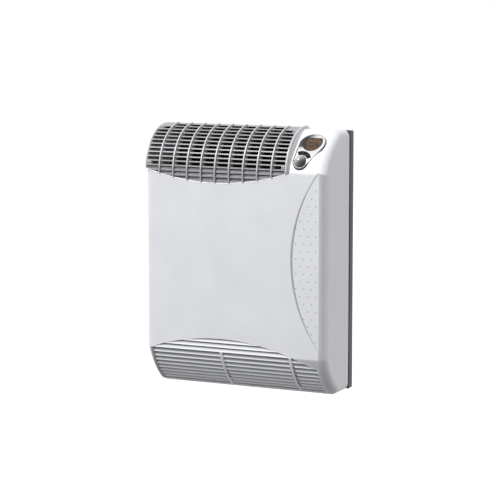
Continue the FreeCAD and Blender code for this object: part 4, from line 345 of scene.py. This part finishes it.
def knob_chrome_light_coat():
    """Satin chrome on a dome, with a painted highlight on its upper left and painted shade where it
    turns from the lamp.
    """
    material, tree, shader = new_material("knob_satin_chrome_painted_light", "#A2A3A6", 0.34, Metallic=0.3)
    place = panel_place_of(tree)
    slant = add_node(tree, "ShaderNodeMath", {0: place["X"], 1: place["Y"]},
                     operation="SUBTRACT").outputs["Value"]
    middle = (low_lobe[0] - low_lobe[1]) * mm
    # Painted highlight toward the upper left and painted shade toward the lower right.
    coat = laid_over(tree, "#C4C5C7", "#333436", (slant, middle - 14 * mm, middle + 22 * mm))
    tree.links.new(coat, shader.inputs["Base Color"])
    tree.links.new(patches(tree, 1.5, 0.3, 0.4), shader.inputs["Roughness"])
    return material


def zinc_sheet():
    """Hot-dip galvanised sheet: flat crystals of zinc, some brighter and smoother than others."""
    material, tree, shader = new_material("galvanised_sheet", "#A7ABAE", 0.42, Metallic=1.0)
    where = add_node(tree, "ShaderNodeTexCoord").outputs["Object"]
    spangle = add_node(tree, "ShaderNodeTexVoronoi", {"Vector": where, "Scale": 1 / (9 * mm)})
    level = add_node(tree, "ShaderNodeRGBToBW", {"Color": spangle.outputs["Color"]}).outputs["Val"]
    blend = add_node(tree, "ShaderNodeMix", {0: level, 6: colour("#969A9D"),
                                             7: colour("#B6BABC")}, data_type="RGBA")
    dull = add_node(tree, "ShaderNodeMapRange", {"Value": level, "To Min": 0.34, "To Max": 0.52})
    tree.links.new(blend.outputs[2], shader.inputs["Base Color"])
    tree.links.new(dull.outputs["Result"], shader.inputs["Roughness"])
    return material


def fascia_plastic_and_shade():
    """
    Glossy white ABS, with a crescent of painted shade around the window's upper left side, as on
    the shaded wall of a dish. The crescent fades to the right over the window and ends below the
    window's left side. A black band of painted shade lies under the keys and between them, so
    they read as one.
    """
    material, tree, shader = new_material("fascia_gloss_abs_and_painted_shade", "#CFCFCF", 0.2, IOR=1.53)
    place = panel_place_of(tree)
    # Painted shade: a speckled crescent at the window's upper left.
    crescent_shade_area = area_within(tree, (place["X"], 24 * mm, -12 * mm), (place["Y"], 9 * mm, 21 * mm))
    speckled_shade_area = add_node(tree, "ShaderNodeMath", {0: crescent_shade_area, 1: patches(tree, 3, -0.05, 0.05)},
                        operation="ADD", use_clamp=True).outputs["Value"]
    shaded_crescent_colour = add_node(tree, "ShaderNodeMix", {
        0: speckled_shade_area, 6: colour("#CFCFCF"), 7: colour("#333537")}, data_type="RGBA").outputs[2]
    reach, turn = about(tree, place, low_lobe)
    # Painted shade: a black band under the keys.
    key_band_shade = laid_over(tree, shaded_crescent_colour, "#0A0A0A",
                       (reach, 19 * mm, 19.8 * mm), (reach, 33 * mm, 32.2 * mm),
                       (turn, math.radians(20), math.radians(22)),
                       (turn, math.radians(118), math.radians(116)))
    tree.links.new(key_band_shade, shader.inputs["Base Color"])
    return material


def bezel_chrome_shade_coat():
    """Satin chrome, with painted shade that darkens it toward the left, where it turns from the
    lamp.
    """
    material, tree, shader = new_material("bezel_satin_chrome_painted_shade", "#C4C5C8", 0.3, Metallic=0.3)
    # Painted shade: dark on the left, light on the right.
    coat = laid_over(tree, "#5C5D5F", "#BFC0C2", (panel_place_of(tree)["X"], -32 * mm, 34 * mm))
    tree.links.new(coat, shader.inputs["Base Color"])
    tree.links.new(patches(tree, 3, 0.26, 0.36), shader.inputs["Roughness"])
    return material


def tinted_glass():
    """The smoked acrylic window over the display, clear enough to read through."""
    material, tree, shader = new_material(
        "smoked_acrylic", "#B4A184", 0.05, IOR=1.49, Transmission_Weight=1.0)
    bump = add_node(tree, "ShaderNodeBump", {
        "Height": patches(tree, 30, 0, 1), "Distance": 0.005 * mm})
    tree.links.new(bump.outputs["Normal"], shader.inputs["Normal"])
    return material


def lit_display():
    """The display's amber light guide: mottled, with painted shade darkening it round its rim."""
    material, tree, shader = new_material("amber_display", "#9A6A35", 0.5, Emission_Strength=0.2)
    reach = about(tree, panel_place_of(tree), window_centre)[0]
    # Painted shade round the rim of the window.
    shaded = laid_over(tree, mottled(tree, 5, "#7A6040", "#C8A878", detail=4.0), "#3A2410",
                       (reach, 17 * mm, 27 * mm))
    tree.links.new(shaded, shader.inputs["Base Color"])
    tree.links.new(shaded, shader.inputs["Emission Color"])
    return material


grille_lacquer_and_light = grille_lacquer_and_light_coat()
louvre_paint_and_shade = louvre_coat_and_shade()
casing_paint_and_shade = casing_coat_and_shade()
knob_chrome_painted_light = knob_chrome_light_coat()
bezel_chrome_painted_shade = bezel_chrome_shade_coat()
zinc = zinc_sheet()
fascia_abs_and_shade = fascia_plastic_and_shade()
window_glass = tinted_glass()
display_amber = lit_display()

finishes = {
    casing_paint_and_shade: ["front_cover"],
    louvre_paint_and_shade: ["intake_grille"],
    grille_lacquer_and_light: ["outlet_grille"],
    frame_paint: ["rear_frame"],
    duct_black_and_shade: ["air_deflector", "heat_shield", "fan_scroll", "fan_tongue", "fan_end_plate_left",
                 "fan_end_plate_right"],
    fascia_abs_and_shade: ["control_fascia"],
    key_lacquer: ["right_key", "middle_key", "left_key"],
    black_plastic: ["tact_switches", "cable_gland", "overheat_thermostat", "pressure_switch",
                    "spark_generator"],
    chamber_plastic: ["control_housing"],
    board_laminate: ["control_board", "main_board"],
    terminal_plastic: ["terminal_block"],
    rubber_and_shade_black: ["fan_bearing"],
    bezel_chrome_painted_shade: ["control_bezel"],
    knob_chrome_painted_light: ["control_knob"],
    screw_zinc: ["grille_screws", "cover_screws", "encoder_body", "encoder_plunger", "fan_shaft",
                 "blower_shaft"],
    motor_steel: ["fan_motor", "blower_motor"],
    zinc: ["exchanger_brackets", "blower_housing", "blower_cover", "air_duct", "board_tray",
           "cover_tabs", "gas_pipe", "burner_tube"],
    cast_aluminium: ["burner_tray", "intake_socket", "exhaust_socket", "exhaust_elbow",
                     "blower_impeller", "gas_valve"],
    heat_black: ["heat_exchanger", "fan_rotor"],
    brass: ["injector", "gas_union", "manifold_pipe"],
    ceramic: ["ignition_electrode", "flame_sensor"],
    wool: ["insulation_panel", "chamber_gasket"],
    window_glass: ["display_window"],
    display_amber: ["display_module"],
}
for material, nodes in finishes.items():
    for node in nodes:
        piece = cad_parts[node]
        piece.data.materials.clear()
        piece.data.materials.append(material)


# Small parts

def new_tree(name, **sizes):
    """An empty geometry tree with a named input for each size, and the node that reads them."""
    tree = bpy.data.node_groups.new(name, "GeometryNodeTree")
    tree.interface.new_socket("Geometry", in_out="INPUT", socket_type="NodeSocketGeometry")
    for label, kind in sizes.items():
        tree.interface.new_socket(label, in_out="INPUT", socket_type="NodeSocket" + kind)
    tree.interface.new_socket("Geometry", in_out="OUTPUT", socket_type="NodeSocketGeometry")
    return tree, add_node(tree, "NodeGroupInput").outputs


def end_tree(tree, instances, material):
    """Ends a geometry tree: its instances are made real and take their material."""
    real = add_node(tree, "GeometryNodeRealizeInstances", {"Geometry": instances})
    coated = add_node(tree, "GeometryNodeSetMaterial", {
        "Geometry": real.outputs["Geometry"], "Material": material})
    add_node(tree, "NodeGroupOutput", {"Geometry": coated.outputs["Geometry"]})


def place_piece(name, mesh, body):
    """Makes a piece of a mesh that already lies in its place, riding on a body."""
    piece = bpy.data.objects.new(name, mesh)
    bpy.context.collection.objects.link(piece)
    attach(piece, body)
    return piece


def grow(name, seed, tree, **sizes):
    """The plain mesh that a geometry tree makes of a seed mesh with these sizes."""
    maker = bpy.data.objects.new(name, seed)
    bpy.context.collection.objects.link(maker)
    modifier = maker.modifiers.new(name, "NODES")
    modifier.node_group = tree
    for socket in tree.interface.items_tree:
        if socket.in_out == "INPUT" and socket.name in sizes:
            modifier[socket.identifier] = sizes[socket.name]
    graph = bpy.context.evaluated_depsgraph_get()
    mesh = bpy.data.meshes.new_from_object(maker.evaluated_get(graph), depsgraph=graph)
    bpy.data.objects.remove(maker)
    mesh.name = name
    return mesh


def close_mesh(name, shape, material):
    """Turns a shape's faces outwards and makes it a mesh."""
    bmesh.ops.recalc_face_normals(shape, faces=shape.faces)
    mesh = bpy.data.meshes.new(name)
    shape.to_mesh(mesh)
    shape.free()
    mesh.shade_smooth()
    mesh.materials.append(material)
    return mesh


def strip_mesh(name, sections, material, joined=False):
    """
    A closed strip through sections that each hold the same number of corners. Its last section is
    joined to the first, or it is capped at both ends.
    """
    shape = bmesh.new()
    rows = [[shape.verts.new(corner) for corner in section] for section in sections]
    for row, after in zip(rows, rows[1:] + rows[:1] if joined else rows[1:]):
        for corner in range(len(row)):
            beyond = (corner + 1) % len(row)
            shape.faces.new((row[corner], row[beyond], after[beyond], after[corner]))
    if not joined:
        shape.faces.new(rows[0])
        shape.faces.new(rows[-1][::-1])
    return close_mesh(name, shape, material)


def turned(name, profile, sides, material, relief=None):
    """A closed shape turned about Z from (radius, height) pairs that start and end on the axis."""
    shape = bmesh.new()
    rings = []
    for radius, height in profile:
        if radius == 0:
            lift = relief(0, 0) if relief and rings else 0
            rings.append([shape.verts.new((0, 0, (height + lift) * mm))])
            continue
        ring = []
        for side in range(sides):
            turn = 2 * math.pi * side / sides
            right, up = radius * math.cos(turn), radius * math.sin(turn)
            lift = relief(right, up) if relief and height > profile[0][1] else 0
            ring.append(shape.verts.new((right * mm, up * mm, (height + lift) * mm)))
        rings.append(ring)
    for lower, upper in zip(rings, rings[1:]):
        for side in range(sides):
            after = (side + 1) % sides
            corners = [lower[side % len(lower)], lower[after % len(lower)],
                       upper[after % len(upper)], upper[side % len(upper)]]
            shape.faces.new(dict.fromkeys(corners))
    return close_mesh(name, shape, material)


def front_dots():
    """The lattice of small raised dots in the sunk field of the front, coloured darker as painted
    shade.
    """
    columns, rows, across, up = 6, 22, 12, 20.93
    seed = turned("dot", [(0, 0), (1.75, 0), (1.7, 0.15), (1.1, 0.4), (0, 0.5)], 16, dot_painted_shade)
    seed.transform(Matrix.Rotation(math.pi / 2, 4, "X"))
    tree, sizes = new_tree("dot_field", Columns="Int", Rows="Int", Across="Float", Up="Float",
                           Middle="Vector", Arc_centre="Vector", Arc_reach="Float")
    last_column = add_node(tree, "ShaderNodeMath", {0: sizes["Columns"], 1: 1},
                           operation="SUBTRACT")
    last_row = add_node(tree, "ShaderNodeMath", {0: sizes["Rows"], 1: 1}, operation="SUBTRACT")
    wide = add_node(tree, "ShaderNodeMath", {0: last_column.outputs[0], 1: sizes["Across"]},
                    operation="MULTIPLY")
    high = add_node(tree, "ShaderNodeMath", {0: last_row.outputs[0], 1: sizes["Up"]},
                    operation="MULTIPLY")
    lattice = add_node(tree, "GeometryNodeMeshGrid", {
        "Size X": wide.outputs[0], "Size Y": high.outputs[0],
        "Vertices X": sizes["Columns"], "Vertices Y": sizes["Rows"]})
    upright = add_node(tree, "GeometryNodeTransform", {
        "Geometry": lattice.outputs["Mesh"], "Translation": sizes["Middle"],
        "Rotation": (math.pi / 2, 0, 0)})
    # The grid counts up each column in turn. Every other point of it is left out.
    index = add_node(tree, "GeometryNodeInputIndex").outputs["Index"]
    column = add_node(tree, "ShaderNodeMath", {0: index, 1: sizes["Rows"]}, operation="DIVIDE")
    whole = add_node(tree, "ShaderNodeMath", {0: column.outputs[0]}, operation="FLOOR")
    row = add_node(tree, "ShaderNodeMath", {0: index, 1: sizes["Rows"]}, operation="MODULO")
    count = add_node(tree, "ShaderNodeMath", {0: whole.outputs[0], 1: row.outputs[0]},
                     operation="ADD")
    odd = add_node(tree, "ShaderNodeMath", {0: count.outputs[0], 1: 2}, operation="MODULO")
    even = add_node(tree, "FunctionNodeCompare", {"A": odd.outputs[0], "B": 0.5},
                    operation="LESS_THAN")
    where = add_node(tree, "GeometryNodeInputPosition").outputs["Position"]
    reach = add_node(tree, "ShaderNodeVectorMath", {0: where, 1: sizes["Arc_centre"]},
                     operation="DISTANCE")
    beyond = add_node(tree, "FunctionNodeCompare", {"A": reach.outputs["Value"],
                                                    "B": sizes["Arc_reach"]},
                      operation="GREATER_THAN")
    unwanted = add_node(tree, "FunctionNodeBooleanMath", {0: even.outputs[0], 1: beyond.outputs[0]},
                        operation="OR")
    kept = add_node(tree, "GeometryNodeDeleteGeometry", {
        "Geometry": upright.outputs["Geometry"], "Selection": unwanted.outputs[0]})
    dots = add_node(tree, "GeometryNodeInstanceOnPoints", {
        "Points": kept.outputs["Geometry"], "Instance": sizes["Geometry"]})
    end_tree(tree, dots.outputs["Instances"], dot_painted_shade)
    return grow("front_dots", seed, tree, Columns=columns, Rows=rows, Across=across * mm,
                Up=up * mm, Middle=spot(dots_right, field_sink, dots_rise),
                Arc_centre=spot(field_right, field_sink, field_rise),
                Arc_reach=(field_radius - 4) * mm)


def cross_recess(right, up):
    """How far a screw's driver recess lowers its head at a place, in millimetres."""
    arm, half_width, depth, slope = 2.1, 0.42, 1.3, 0.35
    near = min(max(abs(right) - arm, abs(up) - half_width),
               max(abs(up) - arm, abs(right) - half_width))
    return -depth * min(max(-near / slope + 1, 0), 1)


def screw_seed(radius):
    """A pan head with a cross recess, standing on its seat."""
    height = 2.2
    dome = [(radius * part, height * (1 - 0.45 * part ** 3.2))
            for part in [1 - step / 16 for step in range(16)]]
    return turned("screw", [(0, 0), (radius, 0)] + dome + [(0, height)], 64, screw_zinc,
                  cross_recess)


def outlet_screws():
    """The four corner screws of the outlet grille, pointing at its axis."""
    tree, sizes = new_tree("screws_on_arc", Left="Float", Right="Float", Low="Float", High="Float",
                           Reach="Float", Axis="Vector")
    line = add_node(tree, "GeometryNodeMeshLine", {"Count": 4})
    index = add_node(tree, "GeometryNodeInputIndex").outputs["Index"]
    side = add_node(tree, "ShaderNodeMath", {0: index, 1: 2}, operation="MODULO")
    half = add_node(tree, "ShaderNodeMath", {0: index, 1: 1.5}, operation="GREATER_THAN")
    right = add_node(tree, "ShaderNodeMix", {0: side.outputs[0], 2: sizes["Left"],
                                             3: sizes["Right"]})
    turn = add_node(tree, "ShaderNodeMix", {0: half.outputs[0], 2: sizes["Low"],
                                            3: sizes["High"]})
    offset = add_node(tree, "ShaderNodeCombineXYZ", {"X": right.outputs[0]})
    place = add_node(tree, "ShaderNodeVectorMath", {0: sizes["Axis"], 1: offset.outputs[0]})
    points = add_node(tree, "GeometryNodeSetPosition", {
        "Geometry": line.outputs["Mesh"], "Position": place.outputs[0]})
    lift = add_node(tree, "ShaderNodeCombineXYZ", {"Z": sizes["Reach"]})
    lifted = add_node(tree, "GeometryNodeTransform", {
        "Geometry": sizes["Geometry"], "Translation": lift.outputs[0]})
    tilt = add_node(tree, "ShaderNodeCombineXYZ", {"X": turn.outputs[0]})
    heads = add_node(tree, "GeometryNodeInstanceOnPoints", {
        "Points": points.outputs["Geometry"], "Instance": lifted.outputs["Geometry"],
        "Rotation": tilt.outputs[0]})
    end_tree(tree, heads.outputs["Instances"], screw_zinc)
    return grow("outlet_screw_heads", screw_seed(4.2), tree, Left=screw_left * mm,
                Right=screw_right * mm, Low=math.radians(90 - low_screw_turn),
                High=math.radians(90 - high_screw_turn), Reach=outlet_radius * mm,
                Axis=spot(0, outlet_axis_depth, outlet_axis_rise))


def around_panel(turn, inset):
    """
    A point of the panel's outline, drawn in by a distance: two round lobes and the straight runs
    between them. Turn is the way that the outline faces there.
    """
    face = (math.cos(turn), math.sin(turn))
    lobe = max(low_lobe, high_lobe, key=lambda one: one[0] * face[0] + one[1] * face[1] + one[2])
    return (lobe[0] + (lobe[2] - inset) * face[0], lobe[1] + (lobe[2] - inset) * face[1])


def panel_ring(name, profile, material):
    """A closed ring around the panel. The profile gives (inset, height) pairs for each turn."""
    steps = 240
    turns = [2 * math.pi * step / steps for step in range(steps)]
    sections = [[panel_spot(*around_panel(turn, inset), height)
                 for inset, height in profile(turn)] for turn in turns]
    return strip_mesh(name, sections, material, joined=True)


def bezel_profile(turn):
    """A rounded trim ring, the same at every turn."""
    return [(0, -1.5), (0, 1.9), (0.25, 2.5), (0.8, 2.9), (1.3, 3), (1.9, 2.85), (2.4, 2.3),
            (2.6, 1.6), (2.6, -1.5)]


def bezel_shade_profile(turn):
    """Painted shade: a soft black edge that lies against the trim ring, widest on the lower right
    side, where the ring turns from the lamp.
    """
    widest_turn, least, swell = math.radians(-52), 0.15, 3.6
    share = max(0, math.cos(turn - widest_turn)) ** 0.6
    reach = least + swell * share
    return [(-reach, -0.6), (-reach, 0.1), (-0.6 * reach, 0.9 * share + 0.1),
            (-0.02, 1.9 * share + 0.1), (-0.02, -0.6)]


def display_figures():
    """Three seven-bar figures, printed thin on the display."""
    shape = bmesh.new()
    bars = {"top": (0, 1, 0), "mid": (0, 0, 0), "low": (0, -1, 0), "upper_left": (-0.5, 0.5, 1),
            "upper_right": (0.5, 0.5, 1), "lower_left": (-0.5, -0.5, 1),
            "lower_right": (0.5, -0.5, 1)}
    figures = {"2": ("top", "upper_right", "mid", "lower_left", "low"),
               "0": ("top", "upper_left", "upper_right", "lower_left", "lower_right", "low"),
               "5": ("top", "upper_left", "mid", "lower_right", "low")}
    tall, half_width, pitch, drop = 8.5, 0.95, 13, 4
    for place, figure in enumerate("205"):
        middle = window_centre[0] + (place - 1) * pitch
        for bar in figures[figure]:
            right, up, upright = bars[bar]
            x, y = middle + right * tall, window_centre[1] - drop + up * tall
            length = tall / 2 - 0.5
            corners = [(-length, 0), (-length + half_width, half_width),
                       (length - half_width, half_width), (length, 0),
                       (length - half_width, -half_width), (-length + half_width, -half_width)]
            if upright:
                corners = [(-b, a) for a, b in corners]
            low, high = [[shape.verts.new(panel_spot(x + a, y + b, level)) for a, b in corners]
                         for level in (-2.2, -1.95)]
            shape.faces.new(high)
            shape.faces.new(low[::-1])
            for one, two, three, four in zip(low, low[1:] + low[:1], high[1:] + high[:1], high):
                shape.faces.new((one, two, three, four))
    return close_mesh("display_figures", shape, display_ink)


def field_edge():
    """The slanting edge between the front and its dotted field, widest in the middle, in a darker
    grey as painted shade.
    """
    half_turn, least, swell, steps = 37.5, 0.3, 5.6, 120
    sections = []
    for step in range(steps + 1):
        share = 2 * step / steps - 1
        turn = math.radians(half_turn * share)
        wide = least + swell * (1 - share ** 2) ** 1.2
        section = []
        for inset, depth in ((0.1, 0.05), (wide, field_sink - 0.1), (wide, field_sink + 0.1),
                             (0.1, field_sink + 0.1)):
            reach = field_radius - inset
            section.append(spot(field_right - reach * math.cos(turn), depth,
                                field_rise + reach * math.sin(turn)))
        sections.append(section)
    return strip_mesh("field_edge", sections, field_edge_painted_shade)


def lens_highlight_bead():
    """The bead along the outlet's lower edge: an arc between the casing's upper folds, painted
    whiter as a painted highlight.
    """
    half, steps = (lens_right - lens_left) / 2, 120
    radius = (half ** 2 + lens_drop ** 2) / (2 * lens_drop)
    reach = math.asin(half / radius)
    sections = []
    for step in range(steps + 1):
        turn = reach * (2 * step / steps - 1)
        sections.append([
            spot((lens_left + lens_right) / 2 + (radius + drop) * math.sin(turn), depth,
                 upper_fold - lens_drop + radius - (radius + drop) * math.cos(turn))
            for drop, depth in ((-0.3, 1), (0.7, -0.6), (2.9, 0.05), (2.9, 2.5), (-0.3, 2.5))])
    return strip_mesh("lens_highlight_bead", sections, bead_painted_highlight)


def chin_margin_shade():
    """Painted shade on the plain margin of the chin left of the slats: a grey strip laid on it."""
    left, right, steps = -268.6, -259.5, 40
    first_turn, last_turn, thickness = -19.2, -54.6, 5
    sections = []
    for step in range(steps + 1):
        turn = math.radians(first_turn + (last_turn - first_turn) * step / steps)
        sections.append([
            spot(across, chin_axis_depth - reach * math.cos(turn),
                 chin_axis_rise + reach * math.sin(turn))
            for across, reach in ((left, chin_radius), (right, chin_radius),
                                  (right, chin_radius - thickness),
                                  (left, chin_radius - thickness))])
    return strip_mesh("chin_margin_shade", sections, margin_painted_shade)


def groove_shade_plugs(name, count, first, right):
    """Painted shade: small black plugs beside a divider, one in each groove between the chin's
    slats, where the openings show dark.
    """
    tree, sizes = new_tree("shade_plugs_on_arc", Count="Int", First="Float", Pitch="Float",
                           Reach="Float", Axis="Vector")
    line = add_node(tree, "GeometryNodeMeshLine", {"Count": sizes["Count"]})
    points = add_node(tree, "GeometryNodeSetPosition", {
        "Geometry": line.outputs["Mesh"], "Position": sizes["Axis"]})
    index = add_node(tree, "GeometryNodeInputIndex").outputs["Index"]
    turn = add_node(tree, "ShaderNodeMath", {0: index, 1: sizes["Pitch"], 2: sizes["First"]},
                    operation="MULTIPLY_ADD")
    tilt = add_node(tree, "ShaderNodeCombineXYZ", {"X": turn.outputs[0]})
    lift = add_node(tree, "ShaderNodeCombineXYZ", {"Z": sizes["Reach"]})
    lifted = add_node(tree, "GeometryNodeTransform", {
        "Geometry": sizes["Geometry"], "Translation": lift.outputs[0]})
    shade_plugs = add_node(tree, "GeometryNodeInstanceOnPoints", {
        "Points": points.outputs["Geometry"], "Instance": lifted.outputs["Geometry"],
        "Rotation": tilt.outputs[0]})
    end_tree(tree, shade_plugs.outputs["Instances"], rubber_and_shade_black)
    seed = turned("shade_plug", [(0, -6), (2.3, -6), (2.3, 0), (1.8, 0.4), (0, 0.4)], 20, rubber_and_shade_black)
    return grow(name, seed, tree, Count=count, First=math.radians(90 - first),
                Pitch=math.radians(slat_pitch), Reach=chin_radius * mm,
                Axis=spot(right, chin_axis_depth, chin_axis_rise))


place_piece("front_dots", front_dots(), "chassis")
place_piece("field_edge", field_edge(), "chassis")
# A painted highlight along the outlet's lower edge.
place_piece("lens_highlight_bead", lens_highlight_bead(), "chassis")
# Painted shade on the chin's left margin.
place_piece("chin_margin_shade", chin_margin_shade(), "chassis")
# Painted shade in the grooves beside the chin's dividers.
place_piece("right_groove_shade_plugs", groove_shade_plugs("right_groove_shade_plugs", count=6, first=-26.9, right=178.9),
            "chassis")
place_piece("left_groove_shade_plugs", groove_shade_plugs("left_groove_shade_plugs", count=2, first=-38.9, right=-35.1),
            "chassis")
screws = place_piece("outlet_screw_heads", outlet_screws(), "chassis")
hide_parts("grille_screws")
bezel = place_piece("bezel_ring", panel_ring("bezel_ring", bezel_profile, bezel_chrome_painted_shade),
                    "chassis")
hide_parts("control_bezel")
# Painted shade along the bezel's lower right side.
place_piece("bezel_shade_edge", panel_ring("bezel_shade_edge", bezel_shade_profile, rubber_and_shade_black), "chassis")
place_piece("display_figures", display_figures(), "chassis")


# Camera and light

def look_from(item, place, aim):
    """Puts a camera or a lamp in its place and turns it to what it aims at."""
    item.location = place
    item.rotation_euler = (aim - place).to_track_quat("-Z", "Y").to_euler()


def set_camera():
    """The camera of the photograph: to the right of the heater, a little above, far away."""
    lens = bpy.data.cameras.new("camera")
    camera = bpy.data.objects.new("camera", lens)
    bpy.context.collection.objects.link(camera)
    lens.sensor_width = 36
    lens.lens = camera_lens
    lens.clip_end = 100
    look_from(camera, spot(*camera_place), spot(*camera_aim))
    bpy.context.scene.camera = camera


def add_lamp(name, place, aim, size, power):
    """A round softbox, whose size is in metres and power in watts."""
    light = bpy.data.lights.new(name, "AREA")
    light.shape = "DISK"
    light.size = size
    light.energy = power
    lamp = bpy.data.objects.new(name, light)
    bpy.context.collection.objects.link(lamp)
    look_from(lamp, Vector(place), aim)


def seen_ray(tree):
    """One for a ray from the camera, or through glass or off a mirror, and zero for others."""
    path = add_node(tree, "ShaderNodeLightPath").outputs
    total = path["Is Camera Ray"]
    for name in ("Is Glossy Ray", "Is Transmission Ray"):
        total = add_node(tree, "ShaderNodeMath", {0: total, 1: path[name]},
                         operation="MAXIMUM").outputs["Value"]
    return total


def set_world(ambient):
    """A white surround whose light on the object is softer than it looks."""
    world = bpy.data.worlds.new("surround")
    bpy.context.scene.world = world
    world.use_nodes = True
    tree = world.node_tree
    ground = tree.nodes["Background"]
    ground.inputs["Color"].default_value = (1, 1, 1, 1)
    strength = add_node(tree, "ShaderNodeMapRange", {
        "Value": seen_ray(tree), "To Min": ambient, "To Max": 1.0}).outputs["Result"]
    tree.links.new(strength, ground.inputs["Strength"])


def add_floor():
    """
    A plain floor, well below the heater. It looks pale, but throws back only as much light as a
    grey one, so the heater's chin is as dark as in the photograph. It keeps the heater's shadow.
    """
    material, tree, shader = new_material("floor", "#5C5C5C", 0.9)
    seen = seen_ray(tree)
    tone = add_node(tree, "ShaderNodeMix", {0: seen, 6: colour("#5C5C5C"), 7: colour("#F4F4F4")},
                    data_type="RGBA").outputs[2]
    tree.links.new(tone, shader.inputs["Base Color"])
    glow = add_node(tree, "ShaderNodeMath", {0: seen, 1: 0.25}, operation="MULTIPLY")
    shader.inputs["Emission Color"].default_value = (1, 1, 1, 1)
    tree.links.new(glow.outputs["Value"], shader.inputs["Emission Strength"])
    mesh = bpy.data.meshes.new("floor")
    reach, level = 12, -1.17
    mesh.from_pydata([(-reach, -reach, level), (reach, -reach, level), (reach, reach, level),
                      (-reach, reach, level)], [], [(0, 1, 2, 3)])
    mesh.materials.append(material)
    floor = bpy.data.objects.new("floor", mesh)
    bpy.context.collection.objects.link(floor)


set_camera()
set_world(0.9)
add_floor()
add_lamp("key_light", (-1.5, -2.8, 3.3), aim=spot(0, 90, 400), size=1.8, power=135)
bpy.context.scene.view_settings.view_transform = "Standard"
